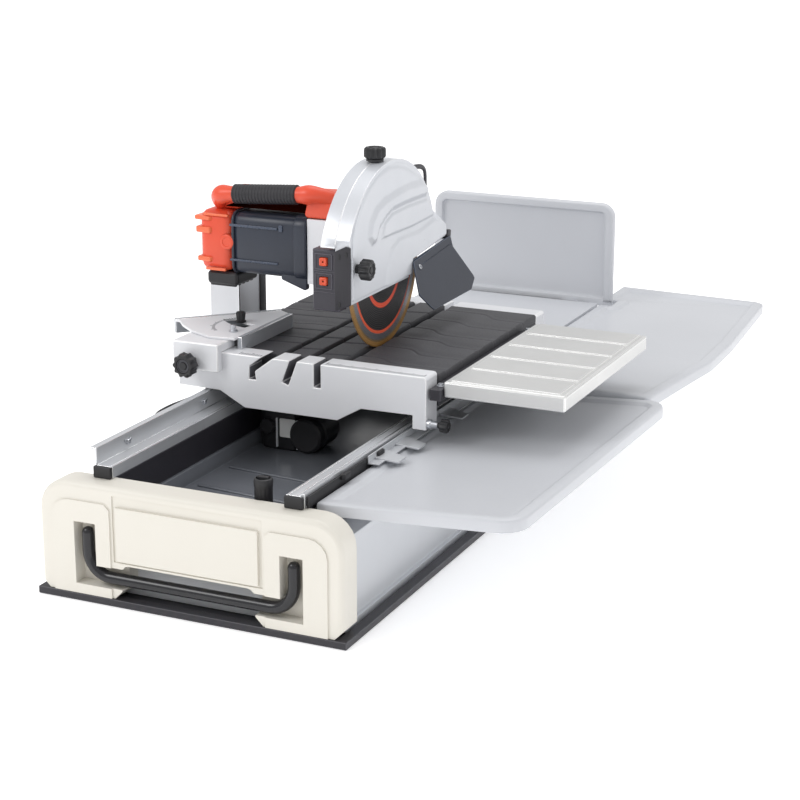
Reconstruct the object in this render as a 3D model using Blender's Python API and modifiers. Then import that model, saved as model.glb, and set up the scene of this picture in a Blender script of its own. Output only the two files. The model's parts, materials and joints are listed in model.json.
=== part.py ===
"""Wet tile saw with a sliding table: one named solid for each sub-part.

Frame: metres, +Z up. X = 0 is the middle of the base, Y = 0 its front edge, Z = 0 the floor.
The blade turns about X, the table slides along Y.
"""

import math

import bmesh
import bpy
from mathutils import Matrix, Vector

GAP = 0.0003            # clearance left between pieces that rest on each other
ARC_STEPS = 6           # straight pieces in a quarter round of an outline

# base and water pan
BASE_HALF = 0.245
BASE_DEPTH = 0.868
BASE_LIP_H = 0.011
BASE_LIP_W = 0.016
BASE_FLOOR = 0.0025
PAN_HALF = 0.222
PAN_TOP = 0.138
PAN_WALL = 0.003
PAN_DECK = 0.130
PAN_FLOOR = 0.106
BASIN_HALF = 0.132
PAN_FLANGE = 0.006

# front panel and carrying handle
PANEL_HALF = 0.239
PANEL_FRONT = 0.001
PANEL_THICK = 0.045
PANEL_TOP = 0.1757
PANEL_CORNER = 0.045
PANEL_WALL = 0.006
ARCH_HALF = 0.106
ARCH_TOP = 0.063
HANDLE_HALF = 0.163
HANDLE_R = 0.00875
HANDLE_BEND = 0.036
HANDLE_BOTTOM = 0.039
HANDLE_PIVOT = Vector((0.0, 0.010, 0.101))
HANDLE_END = 0.009      # tube above the pivot
POCKET_SIDE = 0.016     # half width of a handle pocket
POCKET_DEPTH = 0.024
POCKET_ROOM = 0.00925     # above the handle's lower bar
PIN_R = 0.003

# rails
RAIL_IN = 0.137
RAIL_OUT = 0.165
RAIL_Z = 0.176
RAIL_H = 0.017
RAIL_Y0 = 0.0387
RAIL_Y1 = BASE_DEPTH - 0.013
LIP_TOP = 0.2176
LIP_OUT = 0.174
WEB = 0.0025
RIDGE_H = 0.004
CAP_THICK = 0.0065
BEAM_WALL = 0.002

# sliding table
TABLE_TOP = 0.276
MAT_THICK = 0.0135
BED_THICK = 0.010
BED_X0 = -0.200
BED_X1 = 0.205
MAT_Y0 = 0.400
MAT_Y1 = 0.806
CAST_Y0 = 0.358
CAST_TOP = 0.281
CAST_BOTTOM = 0.221
CAST_X0 = -0.218
CAST_X1 = 0.202
APRON_BOTTOM = 0.197
REAR_CAST_Y1 = 0.848
SKIRT = 0.004
GROOVES = (-0.057, -0.011, 0.046)
GROOVE_W = 0.009
BLADE_GROOVE_W = 0.012
SLOT_W = 0.0115
SLOT_BOTTOM = 0.244
ROLLER_R = 0.012
ROLLER_W = 0.012
TABLE_MID_X = 0.0

# extension wing
WING_X0 = 0.224
WING_X1 = 0.413
WING_Y0 = 0.372
WING_Y1 = 0.757
WING_H = 0.026
WING_RIBS = 5

# angle guide
GUIDE_X0 = -0.219
GUIDE_X1 = -0.139
GUIDE_Z0 = 0.252
GUIDE_THICK = 0.015
FENCE_X = -0.1240
FENCE_HALF = 0.0040
FENCE_Y0 = 0.386
FENCE_Y1 = 0.556
FENCE_TOP = 0.300
PLATE_THICK = 0.004

# blade and cutting head
BLADE = Vector((0.046, 0.546, 0.396))
BLADE_R = 0.127
BLADE_T = 0.0022
SPINDLE_R = 0.008
BORE_CLEAR = 0.0005
GUARD_R = 0.168
GUARD_X0 = 0.038
GUARD_X1 = 0.062
GUARD_CROWN_X0 = 0.015
GUARD_CROWN_Z = 0.452
GUARD_WALL = 0.0025
GUARD_FRONT = 0.393
GUARD_BOTTOM = 0.367
GEAR_X0 = -0.0577
GEAR_Y1 = 0.598
MOTOR_X0 = -0.192
MOTOR_Y0 = 0.486
MOTOR_Y1 = 0.596
MOTOR_Z0 = 0.374
MOTOR_Z1 = 0.472
END_CAP_X0 = -0.252
GRIP_R = 0.0155
BAR_R = 0.0118
SWITCH_LO = Vector((-0.008, 0.408, 0.351))
SWITCH_HI = Vector((0.0376, 0.432, 0.446))
BUTTON = 0.0125
BUTTON_PROUD = 0.004

# column, bevel track and plunge hinge
COLUMN_X0 = -0.311
COLUMN_X1 = -0.254
COLUMN_Y0 = 0.620
COLUMN_Y1 = 0.714
COLUMN_TOP = 0.430
BEVEL_AXIS = Vector((0.076, 0.775, 0.276))
TRACK_R0 = 0.160
TRACK_R1 = 0.195
SHOE_Y0 = 0.775
YOKE_Y1 = 0.790
TRACK_Y1 = 0.805
BEAM_Y1 = 0.830
PLUNGE = Vector((-0.016, 0.745, 0.432))
BARREL_R = 0.012
ARM_HALF = 0.0177
EAR = 0.010

# splash flap
FLAP_HINGE = Vector((0.0655, 0.612, 0.3905))
FLAP_RISE = math.radians(5.8)
FLAP_SWING = math.radians(24.0)
FLAP_T = 0.003

# side and rear trays
TRAY_T = 0.0025
TRAY_SKIRT = 0.018
TRAY_FRONT_Z0 = 0.179
TRAY_FRONT_Z1 = 0.196
TRAY_Z = 0.196
SHELF_HALF = 0.168
SHELF_DEPTH = 0.368
SHELF_Y0 = RAIL_Y1 + 0.017
SHELF_Y1 = SHELF_Y0 + SHELF_DEPTH
SPLASH_X0 = -0.172
SPLASH_X1 = 0.190
SPLASH_Y = SHELF_Y1 + 0.0105
SPLASH_TOP = 0.383

PARTS = "wet_tile_saw"
CUTTERS = "cutters"

MATERIALS = {
    "cream_plastic": ("e9e6df", 0.45, 0.0),
    "tray_plastic": ("dcdde2", 0.40, 0.0),
    "black_steel": ("26252a", 0.45, 0.0),
    "black_plastic": ("1f1f22", 0.50, 0.0),
    "aluminium": ("d4d5d8", 0.32, 1.0),
    "silver_paint": ("e1e2e6", 0.35, 0.0),
    "mat_rubber": ("46464a", 0.85, 0.0),
    "black_rubber": ("2a2a2d", 0.75, 0.0),
    "motor_plastic": ("2e3440", 0.45, 0.0),
    "red_plastic": ("e8553f", 0.42, 0.0),
    "switch_plastic": ("3f3d45", 0.50, 0.0),
    "pan_plastic": ("9da0a6", 0.35, 0.0),
    "blade_steel": ("8a8b8f", 0.30, 1.0),
    "steel": ("b9babd", 0.28, 1.0),
}


# ---------------------------------------------------------------- helpers


def clear_scene():
    for item in list(bpy.data.objects):
        bpy.data.objects.remove(item, do_unlink=True)


def linear(channel):
    return channel / 12.92 if channel <= 0.04045 else ((channel + 0.055) / 1.055) ** 2.4


def make_material(name):
    colour, roughness, metallic = MATERIALS[name]
    material = bpy.data.materials.new(name)
    material.use_nodes = True
    shader = material.node_tree.nodes["Principled BSDF"]
    rgb = [linear(int(colour[i : i + 2], 16) / 255) for i in (0, 2, 4)]
    shader.inputs["Base Color"].default_value = (*rgb, 1.0)
    shader.inputs["Roughness"].default_value = roughness
    shader.inputs["Metallic"].default_value = metallic
    return material


def collection(name):
    found = bpy.data.collections.get(name)
    if found is None:
        found = bpy.data.collections.new(name)
        bpy.context.scene.collection.children.link(found)
    return found


def add_object(name, data, material=None):
    """A new object in the parts' collection or, with no material, in the cutters'."""
    item = bpy.data.objects.new(name, data)
    collection(PARTS if material else CUTTERS).objects.link(item)
    if material:
        found = bpy.data.materials.get(material) or make_material(material)
        data.materials.append(found)
    else:
        item.hide_render = True
        item.display_type = "WIRE"
    return item


def bevel(item, width, segments=1):
    edge = item.modifiers.new("rounded_edges", "BEVEL")
    edge.width = width
    edge.segments = segments
    edge.limit_method = "ANGLE"
    edge.angle_limit = math.radians(35)
    return item


def smooth(item, degrees=35):
    item.data.shade_smooth()
    item.data.set_sharp_from_angle(angle=math.radians(degrees))
    return item


def box(name, lo, hi, material=None, rounding=0.0):
    mesh = bpy.data.meshes.new(name)
    form = bmesh.new()
    lo, hi = Vector(lo), Vector(hi)
    size = hi - lo
    place = Matrix.Translation((lo + hi) / 2) @ Matrix.Diagonal((*size, 1.0))
    bmesh.ops.create_cube(form, size=1.0, matrix=place)
    form.to_mesh(mesh)
    form.free()
    item = add_object(name, mesh, material)
    return bevel(item, rounding) if rounding else item


def along(axis):
    """The rotation that turns +Z to the axis."""
    return Vector((0, 0, 1)).rotation_difference(Vector(axis)).to_matrix().to_4x4()


def cylinder(name, start, end, radius, material=None, sides=24, top_radius=None):
    start, end = Vector(start), Vector(end)
    mesh = bpy.data.meshes.new(name)
    form = bmesh.new()
    place = Matrix.Translation((start + end) / 2) @ along(end - start)
    bmesh.ops.create_cone(
        form,
        cap_ends=True,
        segments=sides,
        radius1=radius,
        radius2=radius if top_radius is None else top_radius,
        depth=(end - start).length,
        matrix=place,
    )
    form.to_mesh(mesh)
    form.free()
    return smooth(add_object(name, mesh, material))


def turned(name, base, axis, profile, material, sides=24):
    """A turned piece: (radius, height) pairs run from the top of the outer side down."""
    mesh = bpy.data.meshes.new(name)
    edges = [(i, i + 1) for i in range(len(profile) - 1)]
    mesh.from_pydata([(r, 0.0, h) for r, h in profile], edges, [])
    item = add_object(name, mesh, material)
    item.matrix_world = Matrix.Translation(base) @ along(axis)
    screw = item.modifiers.new("turn", "SCREW")
    screw.steps = sides
    screw.render_steps = sides
    screw.use_merge_vertices = True
    screw.merge_threshold = 0.0001
    screw.use_smooth_shade = True
    return item


def arc(centre, radius, start, end, steps=ARC_STEPS):
    """Points on a round stretch of an outline, angles in degrees."""
    turns = [math.radians(start + (end - start) * i / steps) for i in range(steps + 1)]
    return [(centre[0] + radius * math.cos(t), centre[1] + radius * math.sin(t)) for t in turns]


def made_mesh(item):
    """The curve's own mesh in world space, with its caps welded."""
    bpy.context.view_layer.update()
    graph = bpy.context.evaluated_depsgraph_get()
    mesh = bpy.data.meshes.new_from_object(item.evaluated_get(graph))
    mesh.transform(item.matrix_world)
    form = bmesh.new()
    form.from_mesh(mesh)
    bmesh.ops.remove_doubles(form, verts=form.verts, dist=0.00002)
    bmesh.ops.dissolve_limit(form, angle_limit=0.001, verts=form.verts, edges=form.edges)
    bmesh.ops.recalc_face_normals(form, faces=form.faces)
    form.to_mesh(mesh)
    form.free()
    return mesh


def as_mesh(item, name, material):
    mesh = made_mesh(item)
    bpy.data.objects.remove(item, do_unlink=True)
    mesh.materials.clear()
    mesh.name = name
    return add_object(name, mesh, material)


PLANES = {
    "XZ": Matrix(((1, 0, 0, 0), (0, 0, 1, 0), (0, 1, 0, 0), (0, 0, 0, 1))),
    "YZ": Matrix(((0, 0, 1, 0), (1, 0, 0, 0), (0, 1, 0, 0), (0, 0, 0, 1))),
    "XY": Matrix.Identity(4),
}


def prism(name, outline, plane, start, end, material=None, rounding=0.0):
    """A flat outline in a plane, given thickness from start to end along the plane's normal."""
    curve = bpy.data.curves.new(name, "CURVE")
    curve.dimensions = "2D"
    curve.fill_mode = "BOTH"
    curve.extrude = (end - start) / 2
    spline = curve.splines.new("POLY")
    spline.points.add(len(outline) - 1)
    for point, (u, v) in zip(spline.points, outline):
        point.co = (u, v, 0.0, 1.0)
    spline.use_cyclic_u = True
    flat = bpy.data.objects.new(name + "_outline", curve)
    bpy.context.scene.collection.objects.link(flat)
    flat.matrix_world = PLANES[plane] @ Matrix.Translation((0, 0, (start + end) / 2))
    item = as_mesh(flat, name, material)
    return bevel(item, rounding) if rounding else item


def tube(name, points, radius, material=None, resolution=2):
    curve = bpy.data.curves.new(name, "CURVE")
    curve.dimensions = "3D"
    curve.bevel_depth = radius
    curve.bevel_resolution = resolution
    curve.use_fill_caps = True
    spline = curve.splines.new("POLY")
    spline.points.add(len(points) - 1)
    for point, place in zip(spline.points, points):
        point.co = (*place, 1.0)
    line = bpy.data.objects.new(name + "_line", curve)
    bpy.context.scene.collection.objects.link(line)
    return smooth(as_mesh(line, name, material), 50)


def smooth_route(points, spacing):
    """Evenly spaced points on a Catmull-Rom curve through the route's own points."""
    knots = [Vector(p) for p in points]
    knots = [2 * knots[0] - knots[1], *knots, 2 * knots[-1] - knots[-2]]
    fine = []
    for a, b, c, d in zip(knots, knots[1:], knots[2:], knots[3:]):
        for step in range(24):
            t = step / 24
            fine.append(
                0.5 * (2 * b + (c - a) * t + (2 * a - 5 * b + 4 * c - d) * t**2
                       + (3 * b - a - 3 * c + d) * t**3)
            )
    fine.append(knots[-2])
    route = [fine[0]]
    for point in fine[1:-1]:
        if (point - route[-1]).length >= spacing:
            route.append(point)
    if (fine[-1] - route[-1]).length < spacing / 2:
        route.pop()
    return [*route, fine[-1]]


def boolean(item, other, operation):
    step = item.modifiers.new(operation.lower(), "BOOLEAN")
    step.operation = operation
    step.object = other
    if other.name not in collection(CUTTERS).objects:
        for owner in list(other.users_collection):
            owner.objects.unlink(other)
        collection(CUTTERS).objects.link(other)
        other.hide_render = True
        other.display_type = "WIRE"
    return item


def cut(item, *others):
    for other in others:
        boolean(item, other, "DIFFERENCE")
    return item


def join(item, *others):
    for other in others:
        boolean(item, other, "UNION")
    return item


def weld(item, distance=0.00002):
    """Closes the hair-thin gaps that a chain of Booleans leaves."""
    step = item.modifiers.new("weld", "WELD")
    step.merge_threshold = distance
    return item


GROUPS = {}


def group(name, point, pieces, parent=None):
    """Parents pieces to an empty that stands on their joint's axis."""
    empty = bpy.data.objects.new(name + "_joint", None)
    empty.empty_display_size = 0.03
    collection(PARTS).objects.link(empty)
    origin = Vector(point)
    if parent:
        empty.parent = GROUPS[parent][0]
        empty.location = origin - GROUPS[parent][1]
    else:
        empty.location = origin
    GROUPS[name] = (empty, origin)
    for piece in pieces:
        piece.parent = empty
        piece.location = piece.location - origin


# ---------------------------------------------------------------- base


def base_plate():
    plate = box(
        "base_plate", (-BASE_HALF, 0, 0), (BASE_HALF, BASE_DEPTH, BASE_LIP_H), "black_steel"
    )
    inner = BASE_HALF - BASE_LIP_W
    well = box(
        "base_well",
        (-inner, BASE_LIP_W, BASE_FLOOR),
        (inner, BASE_DEPTH - BASE_LIP_W, BASE_LIP_H + 0.01),
    )
    return cut(plate, well)


def water_pan():
    """A moulded tub: a high rim, a deck under the side beams and a basin between them."""
    y0 = PANEL_FRONT + PANEL_THICK + GAP
    y1 = BASE_DEPTH - 0.036
    low = BASE_FLOOR + GAP
    half = PAN_HALF - PAN_FLANGE
    wall = PAN_WALL
    pan = box("water_pan", (-half, y0, low), (half, y1, PAN_TOP), "pan_plastic")
    rim = box("pan_rim", (-PAN_HALF, y0, PAN_TOP - 0.008), (PAN_HALF, y1 + PAN_FLANGE, PAN_TOP))
    foot = box("pan_foot", (-PAN_HALF, y0, low), (PAN_HALF, y1 + PAN_FLANGE, low + 0.012))
    deck = box(
        "pan_deck", (-RAIL_OUT - 0.003, y0 - 0.01, PAN_DECK), (RAIL_OUT + 0.003, y1 + 0.02, PAN_TOP + 0.01)
    )
    basin = box(
        "pan_basin", (-BASIN_HALF, y0 + wall, PAN_FLOOR), (BASIN_HALF, y1 - 0.02, PAN_DECK + 0.01)
    )
    under = box(
        "pan_underside",
        (-half + wall, y0 + wall, low - 0.01),
        (half - wall, y1 - wall, PAN_FLOOR - wall),
    )
    join(pan, rim, foot)
    cut(pan, deck, basin, under)
    for sign in (-1, 1):
        x0, x1 = sorted((sign * (BASIN_HALF + wall), sign * (half - wall)))
        shoulder = box(
            f"pan_shoulder_{'left' if sign < 0 else 'right'}",
            (x0, y0 + wall, low - 0.01),
            (x1, y1 - wall, PAN_DECK - wall),
        )
        cut(pan, shoulder)
    return pan


def front_panel():
    """A moulded arch: two feet, a raised plaque and a pocket for each end of the handle."""
    low = BASE_LIP_H + GAP
    r = PANEL_CORNER
    h = PANEL_HALF
    side = h - r
    chamfer = 0.013
    outline = [(-ARCH_HALF - 0.012, low), (-ARCH_HALF, low + 0.012)]
    outline += arc((-ARCH_HALF + 0.012, ARCH_TOP - 0.012), 0.012, 180, 90, 3)
    outline += arc((ARCH_HALF - 0.012, ARCH_TOP - 0.012), 0.012, 90, 0, 3)
    outline += [(ARCH_HALF, low + 0.012), (ARCH_HALF + 0.012, low)]
    outline += [(h - chamfer, low), (h, low + chamfer)]
    outline += arc((side, PANEL_TOP - r), r, 0, 90)
    outline += arc((-side, PANEL_TOP - r), r, 90, 180)
    outline += [(-h, low + chamfer), (-h + chamfer, low)]
    back = PANEL_FRONT + PANEL_THICK
    panel = prism("front_panel", outline, "XZ", PANEL_FRONT, back, "cream_plastic")
    wall = PANEL_WALL
    skin = PANEL_FRONT + 0.010
    cuts = [
        box(
            "panel_middle",
            (-0.128, skin, ARCH_TOP + wall),
            (0.128, back + 0.01, PANEL_TOP - wall - 0.004),
        )
    ]
    for sign in (-1, 1):
        low_x = sign * HANDLE_HALF - POCKET_SIDE - 0.0015
        cuts.append(
            box(
                f"handle_pocket_{'left' if sign < 0 else 'right'}",
                (low_x, PANEL_FRONT - 0.01, HANDLE_BOTTOM - HANDLE_R - 0.00425),
                (low_x + 2 * POCKET_SIDE + 0.003, POCKET_DEPTH, HANDLE_PIVOT.z + 0.018),
            )
        )
        outer = sorted((sign * (HANDLE_HALF + POCKET_SIDE + wall), sign * (h - wall)))
        cuts.append(
            box(
                f"panel_side_{'left' if sign < 0 else 'right'}",
                (outer[0], skin, low + 0.014),
                (outer[1], back + 0.01, PANEL_TOP - r),
            )
        )
    reach = HANDLE_HALF + POCKET_SIDE
    cuts.append(
        box(
            "handle_channel",
            (-reach, PANEL_FRONT - 0.01, HANDLE_BOTTOM - HANDLE_R - 0.00425),
            (reach, POCKET_DEPTH, HANDLE_BOTTOM + HANDLE_R + POCKET_ROOM),
        )
    )
    cuts.append(cylinder("drain_notch", (0.090, 0.0625, 0.12), (0.090, 0.0625, 0.2), 0.0175))
    # The front is set back all round three raised fields: the plaque and one over each foot.
    border = box("panel_border", (-0.26, PANEL_FRONT - 0.01, 0.0), (0.26, PANEL_FRONT + 0.0025, 0.2))
    for sign in (-1, 1):
        field = [(sign * 0.122, 0.0), (sign * 0.217, 0.0)]
        turn = (0, 90) if sign > 0 else (180, 90)
        field += arc((sign * 0.189, 0.122), 0.028, *turn, 4)
        field += [(sign * 0.130, 0.150), (sign * 0.122, 0.142)]
        side_name = "left" if sign < 0 else "right"
        cut(border, prism(f"panel_field_{side_name}", field, "XZ", -0.02, 0.02))
    cut(border, box("plaque", (-0.112, -0.02, 0.069), (0.112, 0.02, 0.148)))
    recess = box("plaque_recess", (-0.118, PANEL_FRONT - 0.01, 0.066), (0.118, PANEL_FRONT + 0.0045, 0.164))
    cut(recess, box("plaque_block", (-0.112, -0.02, 0.069), (0.112, 0.02, 0.148)))
    return weld(cut(panel, *cuts, border, recess))


def carry_handle():
    """A bent steel tube on two short pins, hanging in front of the panel."""
    y = HANDLE_PIVOT.y
    top = HANDLE_PIVOT.z + HANDLE_END
    bend = HANDLE_BEND
    left = arc((-HANDLE_HALF + bend, HANDLE_BOTTOM + bend), bend, 180, 270)
    right = arc((HANDLE_HALF - bend, HANDLE_BOTTOM + bend), bend, 270, 360)
    path = [(-HANDLE_HALF, top), *left, *right, (HANDLE_HALF, top)]
    handle = tube("carry_handle", [(x, y, z) for x, z in path], HANDLE_R, "black_steel")
    pins = []
    for sign in (-1, 1):
        x = sign * HANDLE_HALF
        reach = POCKET_SIDE + 0.0015 - GAP
        pins.append(
            cylinder(
                f"handle_pin_{'left' if sign < 0 else 'right'}",
                (x - reach, y, HANDLE_PIVOT.z),
                (x + reach, y, HANDLE_PIVOT.z),
                PIN_R,
                sides=12,
            )
        )
    return join(handle, *pins)


def rails():
    """Extruded rails on folded steel side beams, with a moulded cap on each front end."""
    top = RAIL_Z + RAIL_H
    left = [
        (-RAIL_OUT, RAIL_Z),
        (-RAIL_IN, RAIL_Z),
        (-RAIL_IN, top),
        (-RAIL_OUT + WEB, top),
        (-RAIL_OUT + WEB, LIP_TOP),
        (-LIP_OUT, LIP_TOP),
        (-LIP_OUT, LIP_TOP - WEB),
        (-RAIL_OUT, LIP_TOP - WEB),
    ]
    right = [
        (RAIL_IN, RAIL_Z),
        (RAIL_OUT, RAIL_Z),
        (RAIL_OUT, top + RIDGE_H),
        (RAIL_OUT - 0.005, top + RIDGE_H),
        (RAIL_OUT - 0.005, top),
        (RAIL_IN, top),
    ]
    prism("left_rail", left, "XZ", RAIL_Y0, RAIL_Y1, "aluminium")
    prism("right_rail", right, "XZ", RAIL_Y0, RAIL_Y1, "aluminium")
    for name, sign in (("left", -1), ("right", 1)):
        x0, x1 = sorted((sign * RAIL_IN, sign * RAIL_OUT))
        box(
            f"{name}_rail_cap",
            (x0, RAIL_Y0 - GAP - CAP_THICK, RAIL_Z),
            (x1, RAIL_Y0 - GAP, top),
            "black_plastic",
            0.001,
        )
        beam_y0 = PANEL_FRONT + PANEL_THICK + GAP
        beam_y1 = BASE_DEPTH - 0.026 - GAP
        beam = box(
            f"{name}_side_beam",
            (x0, beam_y0, PAN_DECK + GAP),
            (x1, beam_y1, RAIL_Z - GAP),
            "black_steel",
        )
        inside = (x0 + BEAM_WALL, x1 + 0.01) if sign > 0 else (x0 - 0.01, x1 - BEAM_WALL)
        hollow = box(
            f"{name}_beam_hollow",
            (inside[0], beam_y0 + 0.03, PAN_DECK + BEAM_WALL + GAP),
            (inside[1], beam_y1 - 0.03, RAIL_Z - BEAM_WALL),
        )
        cut(beam, hollow)


def rear_panel():
    """A folded steel end plate: its flange carries the rails' ends and the rear shelf."""
    y0 = BASE_DEPTH - 0.026 + GAP
    y1 = BASE_DEPTH - 0.002
    low = BASE_LIP_H + GAP
    top = RAIL_Z - GAP
    plate = y0 + 0.004
    channel = [
        (y0, low), (y1, low), (y1, low + 0.003), (plate, low + 0.003),
        (plate, top - 0.003), (y1, top - 0.003), (y1, top), (y0, top),
    ]
    return prism("rear_panel", channel, "YZ", -PANEL_HALF, PANEL_HALF, "black_steel")


def column():
    """A square post on a foot beside the base, and a beam that holds the curved bevel track."""
    low = BASE_LIP_H + GAP
    post = box(
        "column", (COLUMN_X0, COLUMN_Y0, low), (COLUMN_X1, COLUMN_Y1, COLUMN_TOP), "aluminium"
    )
    foot = box("column_foot", (COLUMN_X0, COLUMN_Y0, low), (-PAN_HALF - 0.002, COLUMN_Y1, low + 0.022))
    join(post, foot)
    arm = box(
        "column_arm", (COLUMN_X0, COLUMN_Y1 + GAP, 0.370), (COLUMN_X1, BEAM_Y1, 0.425), "aluminium"
    )
    beam = box("column_beam", (COLUMN_X1 - 0.01, YOKE_Y1 + GAP, 0.370), (-0.060, BEAM_Y1, 0.425))
    track = sector("bevel_track", 115, 150, TRACK_R0, TRACK_R1, YOKE_Y1 + GAP, TRACK_Y1)
    join(arm, beam, track)


def sector(name, start, end, inner, outer, y0, y1, material=None):
    centre = (BEVEL_AXIS.x, BEVEL_AXIS.z)
    outline = arc(centre, outer, start, end, 8) + arc(centre, inner, end, start, 8)
    return prism(name, outline, "XZ", y0, y1, material)


def drain_plug():
    """A pull-up plug: a stem from the pan floor to a slotted cap beside the front panel."""
    x, y = 0.090, 0.0625
    floor = PAN_FLOOR + GAP
    profile = [
        (0.0, 0.205), (0.0125, 0.205), (0.0132, 0.203), (0.0142, 0.180), (0.0132, 0.168),
        (0.0065, 0.160), (0.0065, floor + 0.012), (0.012, floor + 0.006), (0.012, floor),
        (0.0, floor),
    ]
    plug = turned("drain_plug", (x, y, 0), (0, 0, 1), profile, "black_plastic", 16)
    group("drain_pull", (x, y, floor), [plug])


def pump():
    """The water pump in the basin, and its lead to the gland on the column."""
    low = PAN_FLOOR + GAP
    body = box("water_pump", (-0.126, 0.430, low), (-0.010, 0.520, 0.166), "black_plastic", 0.004)
    outlet = cylinder("pump_outlet", (-0.05, 0.505, 0.15), (-0.05, 0.505, 0.180), 0.008)
    join(body, outlet)
    cylinder(
        "cable_gland", (COLUMN_X1 + GAP, 0.665, 0.200), (COLUMN_X1 + 0.012, 0.665, 0.200),
        0.009, "black_plastic", 16, 0.006,
    )
    route = [
        (COLUMN_X1 + 0.0125 + GAP, 0.665, 0.200),
        (-0.2330, 0.665, 0.2002),
        (-0.2200, 0.648, 0.204),
        (-0.210, 0.600, 0.208),
        (-0.198, 0.540, 0.211),
        (-0.190, 0.480, 0.211),
        (-0.187, 0.410, 0.208),
        (-0.188, 0.345, 0.206),
        (-0.196, 0.290, 0.205),
        (-0.199, 0.258, 0.200),
        (-0.193, 0.240, 0.186),
        (-0.189, 0.238, 0.165),
        (-0.187, 0.242, 0.148),
    ]
    tube("pump_lead", smooth_route(route, 0.013), 0.003, "black_rubber")


# ---------------------------------------------------------------- sliding table


def slot_cutter(name, points, width):
    """A slot of even width that follows points in the casting's face, top to bottom."""
    left, right = [], []
    for i, point in enumerate(points):
        before = Vector(points[max(i - 1, 0)])
        after = Vector(points[min(i + 1, len(points) - 1)])
        run = (after - before).normalized()
        side = Vector((-run.y, run.x)) * width / 2
        left.append(tuple(Vector(point) + side))
        right.append(tuple(Vector(point) - side))
    return prism(name, left + right[::-1], "XZ", CAST_Y0 - 0.01, MAT_Y0 + 0.01)


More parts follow.
